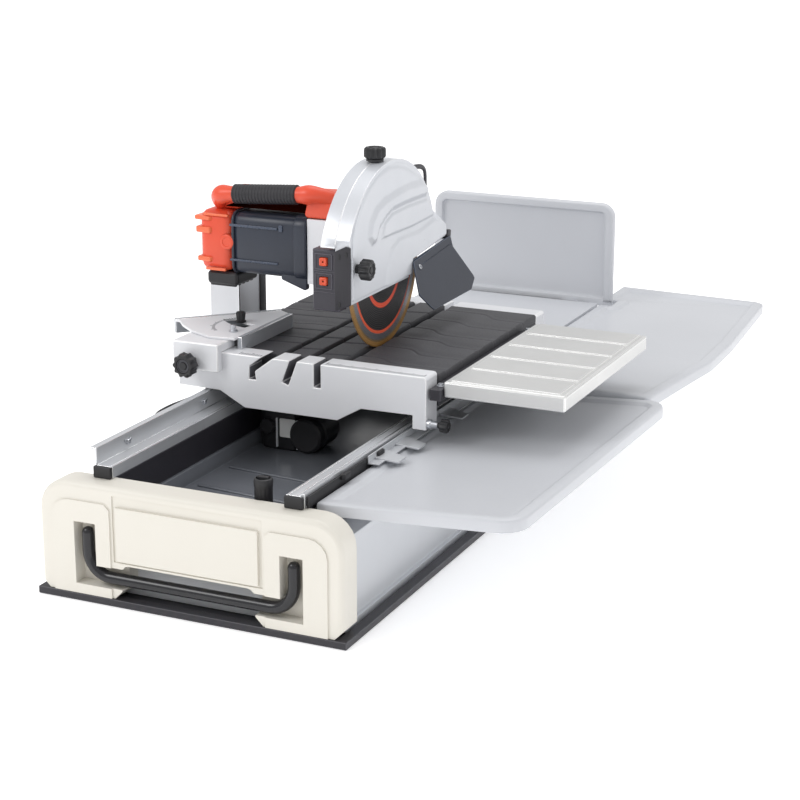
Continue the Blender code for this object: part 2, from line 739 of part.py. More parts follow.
def table():
    """Front and rear castings on a machined bed, with four rubber mats and four rollers."""
    cast = [
        (CAST_X0, CAST_BOTTOM), (-0.145, CAST_BOTTOM - 0.001), (-0.102, APRON_BOTTOM),
        (0.056, APRON_BOTTOM), (0.096, CAST_BOTTOM - 0.001), (CAST_X1 - 0.022, CAST_BOTTOM),
        (CAST_X1 - 0.022, 0.200), (CAST_X1, 0.200),
    ]
    cast += arc((CAST_X1 - 0.005, CAST_TOP - 0.005), 0.005, 0, 90, 3)
    cast += arc((CAST_X0 + 0.012, CAST_TOP - 0.012), 0.012, 90, 180, 3)
    front = prism("front_casting", cast, "XZ", CAST_Y0, MAT_Y0 - GAP, "silver_paint")
    over = CAST_TOP + 0.01
    cut(
        front,
        slot_cutter("slot_0", [(0.023, over), (0.023, SLOT_BOTTOM)], SLOT_W),
        slot_cutter("slot_22", [(-0.0135, over), (-0.0275, 0.2545), (-0.0315, SLOT_BOTTOM)], SLOT_W),
        slot_cutter("slot_45", [(-0.0487, over), (-0.0880, 0.2610), (-0.0875, SLOT_BOTTOM)], SLOT_W),
        box(
            "casting_hollow_left",
            (CAST_X0 + SKIRT, CAST_Y0 + SKIRT, CAST_BOTTOM - 0.03),
            (-0.108, MAT_Y0 + 0.01, CAST_TOP - 0.012),
        ),
        box(
            "casting_hollow_right",
            (0.036, CAST_Y0 + SKIRT, APRON_BOTTOM - 0.03),
            (CAST_X1 - SKIRT, MAT_Y0 + 0.01, CAST_TOP - 0.012),
        ),
        box(
            "casting_hollow_middle",
            (-0.098, CAST_Y0 + SKIRT, APRON_BOTTOM - 0.03),
            (0.036 + 0.001, MAT_Y0 + 0.01, SLOT_BOTTOM - SKIRT),
        ),
    )
    bed_top = TABLE_TOP - MAT_THICK - GAP
    bed = box(
        "table_bed",
        (BED_X0, MAT_Y0, CAST_BOTTOM + 0.006),
        (BED_X1, MAT_Y1, bed_top),
        "silver_paint",
    )
    under = box(
        "bed_underside",
        (BED_X0 + SKIRT, MAT_Y0 + SKIRT, CAST_BOTTOM - 0.01),
        (BED_X1 - SKIRT, MAT_Y1 - SKIRT, bed_top - BED_THICK),
    )
    cut(bed, under)
    rear = box(
        "rear_casting",
        (BED_X0, MAT_Y1 + GAP, CAST_BOTTOM + 0.003),
        (BED_X1, REAR_CAST_Y1, TABLE_TOP - 0.002),
        "silver_paint",
        0.003,
    )
    kerf = box(
        "rear_kerf",
        (BLADE.x - BLADE_GROOVE_W / 2, MAT_Y1 - 0.01, BLADE.z - BLADE_R - 0.012),
        (BLADE.x + BLADE_GROOVE_W / 2, REAR_CAST_Y1 + 0.01, TABLE_TOP + 0.01),
    )
    cut(rear, kerf)
    edges = [BED_X0]
    for x in GROOVES:
        width = BLADE_GROOVE_W if abs(x - BLADE.x) < 0.001 else GROOVE_W
        edges += [x - width / 2, x + width / 2]
    edges.append(BED_X1)
    mats = []
    for i in range(len(edges) // 2):
        mats.append(
            box(
                f"mat_{i + 1}",
                (edges[2 * i], MAT_Y0 + GAP, bed_top + GAP),
                (edges[2 * i + 1], MAT_Y1 - GAP, TABLE_TOP),
                "mat_rubber",
                0.001,
            )
        )
    pieces = [front, bed, rear, *mats]
    box_frame = {
        "front_left": (-1, 0.470), "rear_left": (-1, 0.740),
        "front_right": (1, 0.470), "rear_right": (1, 0.740),
    }
    axle_z = RAIL_Z + RAIL_H + GAP + ROLLER_R
    x_mid = (RAIL_IN + RAIL_OUT) / 2 - 0.0035
    hangers = []
    rollers = {}
    for name, (sign, y) in box_frame.items():
        x = sign * x_mid
        rollers[name] = (x, y, axle_z)
        half = ROLLER_W / 2
        roller = cylinder(
            f"roller_{name}", (x - half, y, axle_z), (x + half, y, axle_z), ROLLER_R,
            "black_plastic", 24,
        )
        bore = cylinder(
            f"roller_bore_{name}", (x - 0.02, y, axle_z), (x + 0.02, y, axle_z),
            0.004 + BORE_CLEAR, sides=16,
        )
        cut(roller, bore)
        rollers[name] = (roller, Vector((x, y, axle_z)))
        inner = x - sign * (half + 0.0015)
        lo, hi = sorted((inner, inner - sign * 0.005))
        hanger = box(
            f"hanger_{name}", (lo, y - 0.010, axle_z - 0.008),
            (hi, y + 0.010, bed_top - BED_THICK + 0.002),
        )
        stub = cylinder(
            f"roller_axle_{name}", (lo + 0.001 if sign > 0 else hi - 0.001, y, axle_z),
            (x + sign * (half + 0.001), y, axle_z), 0.004, sides=16,
        )
        hangers += [hanger, stub]
    join(bed, *hangers)
    return pieces, rollers


def wing():
    """A cast extension plate with raised ribs, bolted to a rail on the table's right side."""
    plate = box(
        "extension_wing", (WING_X0, WING_Y0, TABLE_TOP - WING_H), (WING_X1, WING_Y1, TABLE_TOP - 0.002),
        "silver_paint", 0.002,
    )
    wall = 0.004
    under = box(
        "wing_underside",
        (WING_X0 + wall, WING_Y0 + wall, TABLE_TOP - WING_H - 0.01),
        (WING_X1 - wall, WING_Y1 - wall, TABLE_TOP - 0.008),
    )
    join(plate, *wing_ribs())
    cut(plate, under)
    rail = box(
        "wing_rail",
        (BED_X1 + GAP, CAST_Y0 + 0.004, TABLE_TOP - 0.030),
        (WING_X0 - GAP, WING_Y1 - 0.02, TABLE_TOP - 0.012),
        "black_steel",
        0.001,
    )
    return [plate, rail]


def wing_ribs():
    pitch = (WING_Y1 - WING_Y0) / WING_RIBS
    margin = 0.010
    return [
        box(
            f"wing_rib_{i + 1}",
            (WING_X0 + margin, WING_Y0 + i * pitch + 0.006, TABLE_TOP - 0.006),
            (WING_X1 - margin, WING_Y0 + (i + 1) * pitch - 0.006, TABLE_TOP),
        )
        for i in range(WING_RIBS)
    ]


def knob(name, base, axis, radius, height, stem, stem_radius, material="black_plastic"):
    """A moulded hand knob on a stem, turned and then fluted."""
    profile = [
        (0.0, stem + height), (radius * 0.82, stem + height), (radius, stem + height * 0.82),
        (radius, stem + height * 0.15), (radius * 0.75, stem), (stem_radius, stem),
        (stem_radius, 0.0), (0.0, 0.0),
    ]
    return turned(name, base, axis, profile, material, 20)


def guide():
    """The sliding angle guide: clamp block, fence bar, sector plate and its 45 degree bar."""
    top = FENCE_TOP
    low = top - PLATE_THICK
    body = box(
        "guide_block", (GUIDE_X0, CAST_Y0 - GUIDE_THICK, GUIDE_Z0), (GUIDE_X1, CAST_Y0 - GAP, low - GAP),
        "silver_paint",
    )
    cover = box(
        "guide_block_top", (GUIDE_X0, CAST_Y0 - 0.004, CAST_TOP + GAP), (GUIDE_X1, 0.398, low - GAP)
    )
    join(body, cover)
    edge = FENCE_X - FENCE_HALF - GAP
    outline = [
        (edge, 0.378), (-0.171, 0.373), (-0.212, 0.392), (-0.246, 0.420), (-0.263, 0.441),
        (-0.272, 0.443), (-0.147, 0.568), (edge, 0.556),
    ]
    plate = prism("sector_plate", outline, "XY", low, top, "silver_paint")
    window = arc((-0.130, 0.535), 0.094, 218, 260, 5) + arc((-0.130, 0.535), 0.070, 260, 218, 5)
    cut(plate, prism("sector_window", window, "XY", low - 0.01, top + 0.01))
    box(
        "fence_bar", (FENCE_X - FENCE_HALF, FENCE_Y0, CAST_TOP + GAP), (FENCE_X + FENCE_HALF, FENCE_Y1, top),
        "aluminium",
    )
    fence = bpy.data.objects["fence_bar"]
    skirt = box(
        "fence_skirt", (FENCE_X - FENCE_HALF, MAT_Y0 + 0.002, TABLE_TOP + GAP),
        (FENCE_X + FENCE_HALF, FENCE_Y1, CAST_TOP + 0.002),
    )
    join(fence, skirt)
    out = Vector((-0.7071, 0.7071))
    start = Vector((-0.272, 0.443)) + out * GAP
    end = Vector((-0.147, 0.568)) + out * GAP
    bar = [tuple(start), tuple(end), tuple(end + out * 0.009), tuple(start + out * 0.009)]
    miter = prism("miter_bar", bar, "XY", TABLE_TOP + 0.001, top, "aluminium")
    hand = knob(
        "guide_knob", (-0.186, CAST_Y0 - GUIDE_THICK - GAP, 0.2635), (0, -1, 0), 0.0195, 0.019, 0.007, 0.005
    )
    lock = knob("miter_lock", (-0.168, 0.470, top + GAP), (0, 0, 1), 0.0080, 0.015, 0.002, 0.003)
    group("guide_slide", (-0.18, CAST_Y0, CAST_TOP), [body, plate, fence, miter], "table_slide")
    group("guide_knob", (-0.186, CAST_Y0, 0.2635), [hand], "guide_slide")
    group("miter_lock", (-0.168, 0.470, top), [lock], "guide_slide")


# ---------------------------------------------------------------- cutting head


def guard_outline(inset=0.0, floor=None):
    """Side view (Y, Z) of the guard: upright front edge, round crown and sloping nose."""
    radius = GUARD_R - inset
    front = GUARD_FRONT + inset
    rise = math.degrees(math.asin((BLADE.y - front) / radius))
    start = 90 + rise
    crown = arc((BLADE.y, BLADE.z), radius, start, 21.9, 22)
    nose_top = (0.757 - inset, 0.426 - inset)
    if floor is not None:
        return [(front, floor), *crown, nose_top, (0.757 - inset, floor)]
    low = [(0.757, 0.407), (0.610, 0.392), (0.607, GUARD_BOTTOM), (GUARD_FRONT, GUARD_BOTTOM)]
    return [*crown, nose_top, *low]


def blade_guard():
    """A cast hood: the narrow skirt over the blade and the wider crown."""
    guard = prism("blade_guard", guard_outline(), "YZ", GUARD_X0, GUARD_X1, "silver_paint")
    wall = GUARD_WALL
    centre = (BLADE.y, BLADE.z)
    top = arc(centre, GUARD_R - 0.001, 160.0, 20.0, 24)
    crown = prism("guard_crown", top, "YZ", GUARD_CROWN_X0, GUARD_X0 + 0.001)
    join(guard, crown)
    hollow = prism("guard_hollow", guard_outline(wall, 0.33), "YZ", GUARD_X0 + wall, GUARD_X1 - wall)
    inner = arc(centre, GUARD_R - 0.001 - wall, 158.0, 22.0, 24)
    crown_hollow = prism(
        "guard_crown_hollow", inner, "YZ", GUARD_CROWN_X0 + wall, GUARD_X0 + 2 * wall
    )
    hole = cylinder(
        "spindle_hole", (GUARD_X0 - 0.01, BLADE.y, BLADE.z), (GUARD_X0 + 0.01, BLADE.y, BLADE.z), 0.014
    )
    return weld(cut(guard, hollow, crown_hollow, hole))


def blade():
    """Continuous-rim blade, its spindle, and the outer flange with its nut."""
    x = BLADE.x
    t = BLADE_T / 2
    disc = turned(
        "saw_blade",
        (x, BLADE.y, BLADE.z),
        (1, 0, 0),
        [
            (0.0, 0.0105), (0.0085, 0.0105), (0.0085, 0.0050), (0.0200, 0.0045), (0.0210, t),
            (BLADE_R, t), (BLADE_R, -t), (0.0210, -t), (0.0200, -0.0025), (SPINDLE_R, -0.0030),
            (SPINDLE_R, -0.0240), (0.0, -0.0240),
        ],
        "blade_steel",
        48,
    )
    group("blade_spin", BLADE, [disc], "plunge")


def head():
    """Everything that plunges: gear case, motor, handle, switch, guard and rear arm."""
    seam = GEAR_X0
    case = box(
        "gear_case", (seam, 0.488, 0.369), (GUARD_CROWN_X0 - GAP, GEAR_Y1, MOTOR_Z1), "silver_paint"
    )
    neck = box(
        "gear_neck", (SWITCH_LO.x, SWITCH_HI.y + GAP, 0.369),
        (GUARD_X0 - 0.0004, 0.590, GUARD_CROWN_Z - 0.0085),
    )
    bore = cylinder(
        "spindle_bore", (0.018, BLADE.y, BLADE.z), (GUARD_X0 + 0.01, BLADE.y, BLADE.z),
        SPINDLE_R + BORE_CLEAR,
    )
    join(case, neck)
    cut(case, bore)
    motor = box(
        "motor_body", (MOTOR_X0, MOTOR_Y0, MOTOR_Z0), (seam - GAP, MOTOR_Y1, MOTOR_Z1), "motor_plastic"
    )
    bevel(motor, 0.014, 3)
    cap = box(
        "motor_end_cap", (END_CAP_X0, MOTOR_Y0 + 0.002, MOTOR_Z0),
        (MOTOR_X0 - GAP, MOTOR_Y1 - 0.002, MOTOR_Z1), "red_plastic",
    )
    bevel(cap, 0.015, 3)
    brush = cylinder(
        "brush_cap", (-0.199, MOTOR_Y0 + 0.002 - GAP, 0.424), (-0.199, MOTOR_Y0 - 0.003, 0.424),
        0.0125, "red_plastic", 24,
    )
    socket = box(
        "inlet_box", (-0.240, MOTOR_Y0 + 0.004, 0.352), (-0.184, 0.560, MOTOR_Z0 - GAP),
        "black_plastic", 0.004,
    )
    reach = [
        (-0.192, 0.484, 0.502), (-0.130, 0.484, 0.506), (-0.066, 0.484, 0.510), (-0.034, 0.490, 0.510)
    ]
    left_foot = [(-0.214, 0.534, 0.466), (-0.224, 0.516, 0.481), (-0.214, 0.493, 0.495)]
    right_foot = [(-0.014, 0.503, 0.501), (-0.003, 0.518, 0.484), (-0.001, 0.524, 0.464)]
    bar = tube("top_handle", smooth_route([*left_foot, *reach, *right_foot], 0.011), BAR_R, "red_plastic")
    cut(bar, box("handle_trim", (-0.3, 0.44, 0.43), (0.05, 0.58, MOTOR_Z1 + GAP)))
    grip = tube("handle_grip", [(-0.182, 0.484, 0.5026), (-0.070, 0.484, 0.5098)], GRIP_R, "black_rubber", 3)
    cut(grip, tube("grip_core", smooth_route([left_foot[-1], *reach, right_foot[0]], 0.011), BAR_R + 0.0004))
    switch = box("switch_box", SWITCH_LO, SWITCH_HI, "switch_plastic", 0.0015)
    buttons = []
    for name, z in (("start_button", 0.427), ("stop_button", 0.397)):
        x = 0.011
        half = BUTTON / 2
        button = box(
            name, (x - half, SWITCH_LO.y - BUTTON_PROUD, z - half),
            (x + half, SWITCH_LO.y + 0.010, z + half), "red_plastic", 0.0015,
        )
        well = half + 0.0006
        cut(
            switch,
            box(
                f"{name}_well", (x - well, SWITCH_LO.y - 0.01, z - well),
                (x + well, SWITCH_LO.y + 0.0145, z + well),
            ),
        )
        buttons.append((name, button, (x, SWITCH_LO.y, z)))
    arm = box(
        "head_arm", (PLUNGE.x - ARM_HALF, GEAR_Y1 + GAP, PLUNGE.z - 0.012),
        (PLUNGE.x + ARM_HALF, PLUNGE.y, PLUNGE.z + 0.012), "silver_paint",
    )
    barrel = cylinder(
        "arm_barrel", PLUNGE - Vector((ARM_HALF, 0, 0)), PLUNGE + Vector((ARM_HALF, 0, 0)), BARREL_R
    )
    pin_hole = cylinder(
        "pin_hole", PLUNGE - Vector((0.05, 0, 0)), PLUNGE + Vector((0.05, 0, 0)), 0.006 + BORE_CLEAR
    )
    join(arm, barrel)
    cut(arm, pin_hole)
    pieces = [case, motor, cap, brush, socket, bar, grip, switch, arm, blade_guard()]
    group("plunge", PLUNGE, pieces, "bevel")
    for name, button, place in buttons:
        group(name, place, [button], "plunge")
    crown_top = BLADE.z + math.sqrt(GUARD_R**2 - (BLADE.y - 0.528) ** 2)
    depth = knob("depth_knob", (0.040, 0.528, crown_top + 0.001), (0, 0, 1), 0.0170, 0.018, 0.003, 0.007)
    cover = knob("cover_knob", (GUARD_X1 + GAP, 0.413, 0.420), (1, 0, 0), 0.0165, 0.018, 0.009, 0.007)
    group("depth_knob", (0.040, 0.528, crown_top), [depth], "plunge")
    group("cover_knob", (GUARD_X1, 0.413, 0.420), [cover], "plunge")


def bevel_yoke():
    """The part of the head that slides in the curved track and carries the plunge pin."""
    shoe = sector("bevel_yoke", 112, 172, TRACK_R0, TRACK_R1, SHOE_Y0, YOKE_Y1, "silver_paint")
    x0 = PLUNGE.x - ARM_HALF - GAP - EAR
    x1 = PLUNGE.x + ARM_HALF + GAP + EAR
    back = box("yoke_back", (x0, PLUNGE.y + 0.018, 0.416), (x1, YOKE_Y1 - 0.002, 0.452))
    ears = []
    for name, low in (("left", x0), ("right", x1 - EAR)):
        ears.append(
            box(f"yoke_ear_{name}", (low, PLUNGE.y - 0.012, 0.420), (low + EAR, PLUNGE.y + 0.030, 0.445))
        )
    hole = cylinder(
        "yoke_hole", PLUNGE - Vector((0.05, 0, 0)), PLUNGE + Vector((0.05, 0, 0)), 0.006 + BORE_CLEAR
    )
    join(shoe, back, *ears)
    cut(shoe, hole)
    pin = cylinder(
        "plunge_pin", (x0 - 0.003, PLUNGE.y, PLUNGE.z), (x1 + 0.003, PLUNGE.y, PLUNGE.z), 0.006, "steel"
    )
    group("bevel", BEVEL_AXIS, [shoe, pin])
    lock = knob("bevel_lock", (-0.093, SHOE_Y0 - GAP, 0.322), (0, -1, 0), 0.016, 0.018, 0.006, 0.006)
    group("bevel_lock", (-0.093, SHOE_Y0, 0.322), [lock], "bevel")


def splash_flap():
    """A rubber sheet hung from the lower edge of the guard's nose, leaning outwards."""
    outline = [
        (0.000, 0.000), (0.150, 0.000), (0.143, -0.018), (0.168, -0.078), (0.168, -0.084),
        (0.142, -0.096), (0.000, -0.084), (-0.006, -0.078), (-0.025, -0.050),
    ]
    flap = prism("splash_flap", outline, "YZ", 0.0, FLAP_T, "black_rubber")
    place = Matrix.Translation(FLAP_HINGE)
    place = place @ Matrix.Rotation(FLAP_RISE, 4, "X") @ Matrix.Rotation(-FLAP_SWING, 4, "Y")
    flap.data.transform(place)
    group("splash_flap", FLAP_HINGE, [flap], "plunge")


# ---------------------------------------------------------------- trays


def tray(name, outline, top, slope=0.0, x_hinge=0.0, material="tray_plastic"):
    """A flat moulded tray: a thin top with a skirt hanging from its edge."""
    solid = prism(name, outline, "XY", top - TRAY_SKIRT, top, material)
    centre = Vector((sum(p[0] for p in outline), sum(p[1] for p in outline))) / len(outline)
    inside = []
    count = len(outline)
    for i, point in enumerate(outline):
        here = Vector(point)
        run_in = (here - Vector(outline[i - 1])).normalized()
        run_out = (Vector(outline[(i + 1) % count]) - here).normalized()
        normal = (Vector((-run_in.y, run_in.x)) + Vector((-run_out.y, run_out.x))).normalized()
        wall = 0.003 / max(normal.dot(Vector((-run_in.y, run_in.x))), 0.5)
        if normal.dot(centre - here) < 0:
            normal = -normal
        inside.append(tuple(here + normal * wall))
    under = prism(f"{name}_underside", inside, "XY", top - TRAY_SKIRT - 0.01, top - TRAY_T)
    for item in (solid, under):
        lean = Matrix.Translation((x_hinge, 0, top)) @ Matrix.Rotation(-slope, 4, "Y")
        item.data.transform(lean @ Matrix.Translation((-x_hinge, 0, -top)))
    return cut(solid, under)


def trays():
    inner = RAIL_OUT + 0.005
    run = 0.486 - inner
    slope = math.atan2(TRAY_FRONT_Z1 - TRAY_FRONT_Z0, run)
    front = [(inner, 0.076), (0.440, 0.062)]
    front += arc((0.446, 0.080), 0.018, 290, 355, 3)
    front += arc((0.446, 0.639), 0.034, 0, 90, 4)
    front += [(inner, 0.673)]
    side = RAIL_OUT + GAP
    front_tray = tray("front_side_tray", front, TRAY_FRONT_Z0, slope, inner)
    for i, y in enumerate((0.12, 0.36, 0.60)):
        hook = box(f"front_hook_{i + 1}", (side, y, 0.1635), (inner + 0.004, y + 0.04, 0.1705))
        join(front_tray, hook)
    rear = [
        (inner + 0.003, 0.680), (0.446, 0.676), (0.464, 0.838), (0.475, 0.930), (0.473, 1.066),
        (0.452, SHELF_Y1 + 0.112), (0.446, SHELF_Y1 + 0.128), (0.430, SHELF_Y1 + 0.138),
        (inner - 0.003, SHELF_Y1 + 0.156), (inner - 0.003, SHELF_Y1 + 0.038),
        (SPLASH_X1 + 0.004, SHELF_Y1 + 0.038), (SPLASH_X1 + 0.004, SHELF_Y1 - 0.004),
        (inner + 0.003, SHELF_Y1 - 0.004),
    ]
    rear_tray = tray("rear_side_tray", rear, TRAY_Z)
    for i, y in enumerate((0.70, 0.80)):
        hook = box(f"rear_hook_{i + 1}", (side, y, 0.1795), (inner + 0.007, y + 0.04, 0.1865))
        join(rear_tray, hook)
    shelf = [
        (-SHELF_HALF, SHELF_Y0), (SHELF_HALF, SHELF_Y0), (SHELF_HALF, SHELF_Y1), (-SHELF_HALF, SHELF_Y1)
    ]
    rear_shelf = tray("rear_shelf", shelf, TRAY_Z)
    for sign in (-1, 1):
        x0, x1 = sorted((sign * 0.095, sign * 0.125))
        side_name = "left" if sign < 0 else "right"
        tongue_end = (x1, SHELF_Y0 + 0.008, 0.1805)
        tongue = box(f"shelf_tongue_{side_name}", (x0, SHELF_Y0 - 0.022, RAIL_Z), tongue_end)
        lug_end = (x1, SPLASH_Y - GAP, TRAY_Z - 0.001)
        lug = box(f"shelf_lug_{side_name}", (x0, SHELF_Y1 - 0.006, 0.181), lug_end)
        join(rear_shelf, tongue, lug)
    splash = [(SPLASH_X0, TRAY_Z - 0.008), (SPLASH_X1 - 0.012, TRAY_Z - 0.008), (SPLASH_X1, TRAY_Z + 0.010)]
    splash += arc((SPLASH_X1 - 0.024, SPLASH_TOP - 0.024), 0.024, 0, 90, 4)
    splash += arc((SPLASH_X0 + 0.024, SPLASH_TOP - 0.024), 0.024, 90, 180, 4)
    upright = prism("rear_splash_tray", splash, "XZ", SPLASH_Y, SPLASH_Y + 0.012, "tray_plastic", 0.002)
    recess = [
        (SPLASH_X0 + 0.012, TRAY_Z + 0.006), (SPLASH_X1 - 0.012, TRAY_Z + 0.012),
        (SPLASH_X1 - 0.012, SPLASH_TOP - 0.026), (SPLASH_X1 - 0.026, SPLASH_TOP - 0.012),
        (SPLASH_X0 + 0.026, SPLASH_TOP - 0.012), (SPLASH_X0 + 0.012, SPLASH_TOP - 0.026),
    ]
    cut(upright, prism("splash_recess", recess, "XZ", SPLASH_Y - 0.01, SPLASH_Y + 0.009))
    group("splash_fold", (0, SPLASH_Y - 0.002, TRAY_Z + 0.0035), [upright])


def table_lock():
    """The knob on the front casting that clamps the table to the right rail."""
    return knob("table_lock", (CAST_X1 + GAP, 0.366, 0.2085), (1, 0, 0), 0.0105, 0.013, 0.020, 0.0045)


# ---------------------------------------------------------------- assembly


def main():
    clear_scene()
    base_plate()
    water_pan()
    front_panel()
    group("handle_swing", HANDLE_PIVOT, [carry_handle()])
    rails()
    rear_panel()
    column()
    drain_plug()
    pump()
    pieces, rollers = table()
    lock = table_lock()
    group("table_slide", (TABLE_MID_X, CAST_Y0, RAIL_Z + RAIL_H), pieces + wing())
    group("table_lock", (CAST_X1, 0.366, 0.2085), [lock], "table_slide")
    for name, (roller, axle) in rollers.items():
        group(f"roller_{name}", axle, [roller], "table_slide")
    guide()
    bevel_yoke()
    head()
    blade()
    splash_flap()
    trays()


main()
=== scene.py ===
"""The looks of a wet tile saw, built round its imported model, piece by piece as the saw is put together."""

import json
import math

import bmesh
import bpy
import numpy as np
from mathutils import Matrix, Vector

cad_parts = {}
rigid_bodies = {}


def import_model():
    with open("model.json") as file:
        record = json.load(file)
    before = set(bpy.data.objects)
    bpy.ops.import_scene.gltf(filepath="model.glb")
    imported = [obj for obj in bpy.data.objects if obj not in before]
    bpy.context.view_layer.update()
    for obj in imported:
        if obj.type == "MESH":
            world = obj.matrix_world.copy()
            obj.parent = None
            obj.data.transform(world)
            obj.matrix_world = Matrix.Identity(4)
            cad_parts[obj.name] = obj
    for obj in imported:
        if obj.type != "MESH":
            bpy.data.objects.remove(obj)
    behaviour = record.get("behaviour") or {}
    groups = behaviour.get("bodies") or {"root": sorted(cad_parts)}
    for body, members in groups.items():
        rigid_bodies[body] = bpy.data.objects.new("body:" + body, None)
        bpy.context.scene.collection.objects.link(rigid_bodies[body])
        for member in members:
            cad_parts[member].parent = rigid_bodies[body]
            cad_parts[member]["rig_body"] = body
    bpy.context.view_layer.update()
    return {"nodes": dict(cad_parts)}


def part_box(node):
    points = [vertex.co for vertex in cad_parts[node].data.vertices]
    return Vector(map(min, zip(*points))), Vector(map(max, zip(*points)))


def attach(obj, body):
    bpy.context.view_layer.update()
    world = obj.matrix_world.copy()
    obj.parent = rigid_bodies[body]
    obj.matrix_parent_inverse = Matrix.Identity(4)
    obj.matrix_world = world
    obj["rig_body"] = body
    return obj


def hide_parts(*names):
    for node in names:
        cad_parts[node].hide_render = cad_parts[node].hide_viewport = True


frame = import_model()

# ---------------------------------------------------------------- camera, lights and floor
# The saw stands on a pale studio floor, seen from its front left corner and a little above.
# Wide soft boxes to the left, right and overhead light it, with a white room all round.
azimuth, elevation, roll = (math.radians(angle) for angle in (24.42, 16.51, 0.13))
back = Vector((
    math.sin(azimuth) * math.cos(elevation),
    -math.cos(azimuth) * math.cos(elevation),
    math.sin(elevation),
))
level = Vector((math.cos(azimuth), math.sin(azimuth), 0.0))
above = back.cross(level)
across = level * math.cos(roll) + above * math.sin(roll)
upward = above * math.cos(roll) - level * math.sin(roll)
camera_data = bpy.data.cameras.new("studio_camera")
camera_data.lens = 86.6
camera_data.sensor_width = 36.0
camera_data.clip_end = 20.0
camera_place = Vector((1.28684, -2.12326, 1.05))
camera = bpy.data.objects.new("studio_camera", camera_data)
camera.matrix_world = (
    Matrix.Translation(camera_place) @ Matrix((across, upward, back)).transposed().to_4x4()
)
bpy.context.scene.collection.objects.link(camera)
bpy.context.scene.camera = camera
bpy.context.scene.view_settings.view_transform = "Standard"

soft_boxes = {
    "left_soft_box": ((-1.7, -1.7, 2.3), (0.0, 0.5, 0.3), 1.3, 30.0),
    "right_soft_box": ((2.6, 0.6, 1.7), (0.1, 0.6, 0.2), 1.4, 9.0),
    "top_soft_box": ((0.0, 1.3, 2.8), (0.0, 0.6, 0.0), 1.8, 22.0),
}
for light_name, (place, aim, width, power) in soft_boxes.items():
    light = bpy.data.lights.new(light_name, "AREA")
    light.shape = "SQUARE"
    light.size = width
    light.energy = power
    lamp = bpy.data.objects.new(light_name, light)
    lamp.location = place
    lamp.rotation_euler = (Vector(aim) - Vector(place)).to_track_quat("-Z", "Y").to_euler()
    bpy.context.scene.collection.objects.link(lamp)

room = bpy.data.worlds.new("white_room")
room.use_nodes = True
room.node_tree.nodes["Background"].inputs["Color"].default_value = (1.0, 1.0, 1.0, 1.0)
room.node_tree.nodes["Background"].inputs["Strength"].default_value = 0.72
bpy.context.scene.world = room


def linear(shade):
    """An sRGB hex colour as linear red, green, blue and a full alpha."""
    steps = [int(shade[i : i + 2], 16) / 255 for i in (1, 3, 5)]
    return (*(s / 12.92 if s <= 0.04045 else ((s + 0.055) / 1.055) ** 2.4 for s in steps), 1.0)


def add_node(tree, kind, settings=None, values=None, links=None):
    """Adds a node of this kind to the tree, with its settings, its inputs' values and its links."""
    made = tree.nodes.new(kind)
    for name, value in (settings or {}).items():
        setattr(made, name, value)
    for name, value in (values or {}).items():
        made.inputs[name].default_value = value
    for name, output in (links or {}).items():
        tree.links.new(output, made.inputs[name])
    return made


def finish(name, shades, roughness, grain, relief, metallic=0.0, drift=0.06, run=(1, 1, 1), vary=0.05):
    """A finish whose colour drifts between two shades in patches, while a finer grain moves its
    gloss and dents it. Grain, relief and drift are lengths in metres, run stretches the grain."""
    material = bpy.data.materials.new(name)
    material.use_nodes = True
    tree = material.node_tree
    shader = tree.nodes["Principled BSDF"]
    shader.inputs["Metallic"].default_value = metallic
    place = add_node(tree, "ShaderNodeTexCoord").outputs["Object"]
    patches = add_node(
        tree, "ShaderNodeTexNoise", values={"Scale": 1 / drift, "Detail": 3.0}, links={"Vector": place}
    )
    pulled = add_node(
        tree, "ShaderNodeMapping", values={"Scale": run}, links={"Vector": place}
    )
    fine = add_node(
        tree,
        "ShaderNodeTexNoise",
        values={"Scale": 1 / grain, "Detail": 2.0},
        links={"Vector": pulled.outputs["Vector"]},
    )
    tint = add_node(
        tree,
        "ShaderNodeMix",
        {"data_type": "RGBA"},
        {6: linear(shades[0]), 7: linear(shades[1])},
        {0: patches.outputs["Fac"]},
    )
    gloss = add_node(
        tree,
        "ShaderNodeMapRange",
        values={"To Min": roughness - vary, "To Max": roughness + vary},
        links={"Value": fine.outputs["Fac"]},
    )
    dents = add_node(
        tree,
        "ShaderNodeBump",
        values={"Strength": 0.6, "Distance": relief},
        links={"Height": fine.outputs["Fac"]},
    )
    tree.links.new(tint.outputs[2], shader.inputs["Base Color"])
    tree.links.new(gloss.outputs["Result"], shader.inputs["Roughness"])
    tree.links.new(dents.outputs["Normal"], shader.inputs["Normal"])
    return material


# Opal acrylic board lit a little from below: matt and white, with hardly any grain.
painted_board = finish("backlit_opal_board", ("#FBFBFB", "#F8F8F9"), 0.8, 0.02, 0.0001)
opal = painted_board.node_tree.nodes["Principled BSDF"]
opal.inputs["Emission Color"].default_value = (1.0, 1.0, 1.0, 1.0)
opal.inputs["Emission Strength"].default_value = 0.42


def grid_faces(rows, columns, closed=True, capped=True):
    """Quads between neighbouring points of a grid. Closed joins the last column to the first, and
    capped fills the first and the last row with one face each."""
    index = np.arange(rows * columns).reshape(rows, columns)
    ends = [index[0].tolist(), index[-1].tolist()] if capped else []
    if closed:
        index = np.hstack([index, index[:, :1]])
    corners = [index[:-1, :-1], index[:-1, 1:], index[1:, 1:], index[1:, :-1]]
    return np.stack(corners, axis=-1).reshape(-1, 4).tolist() + ends


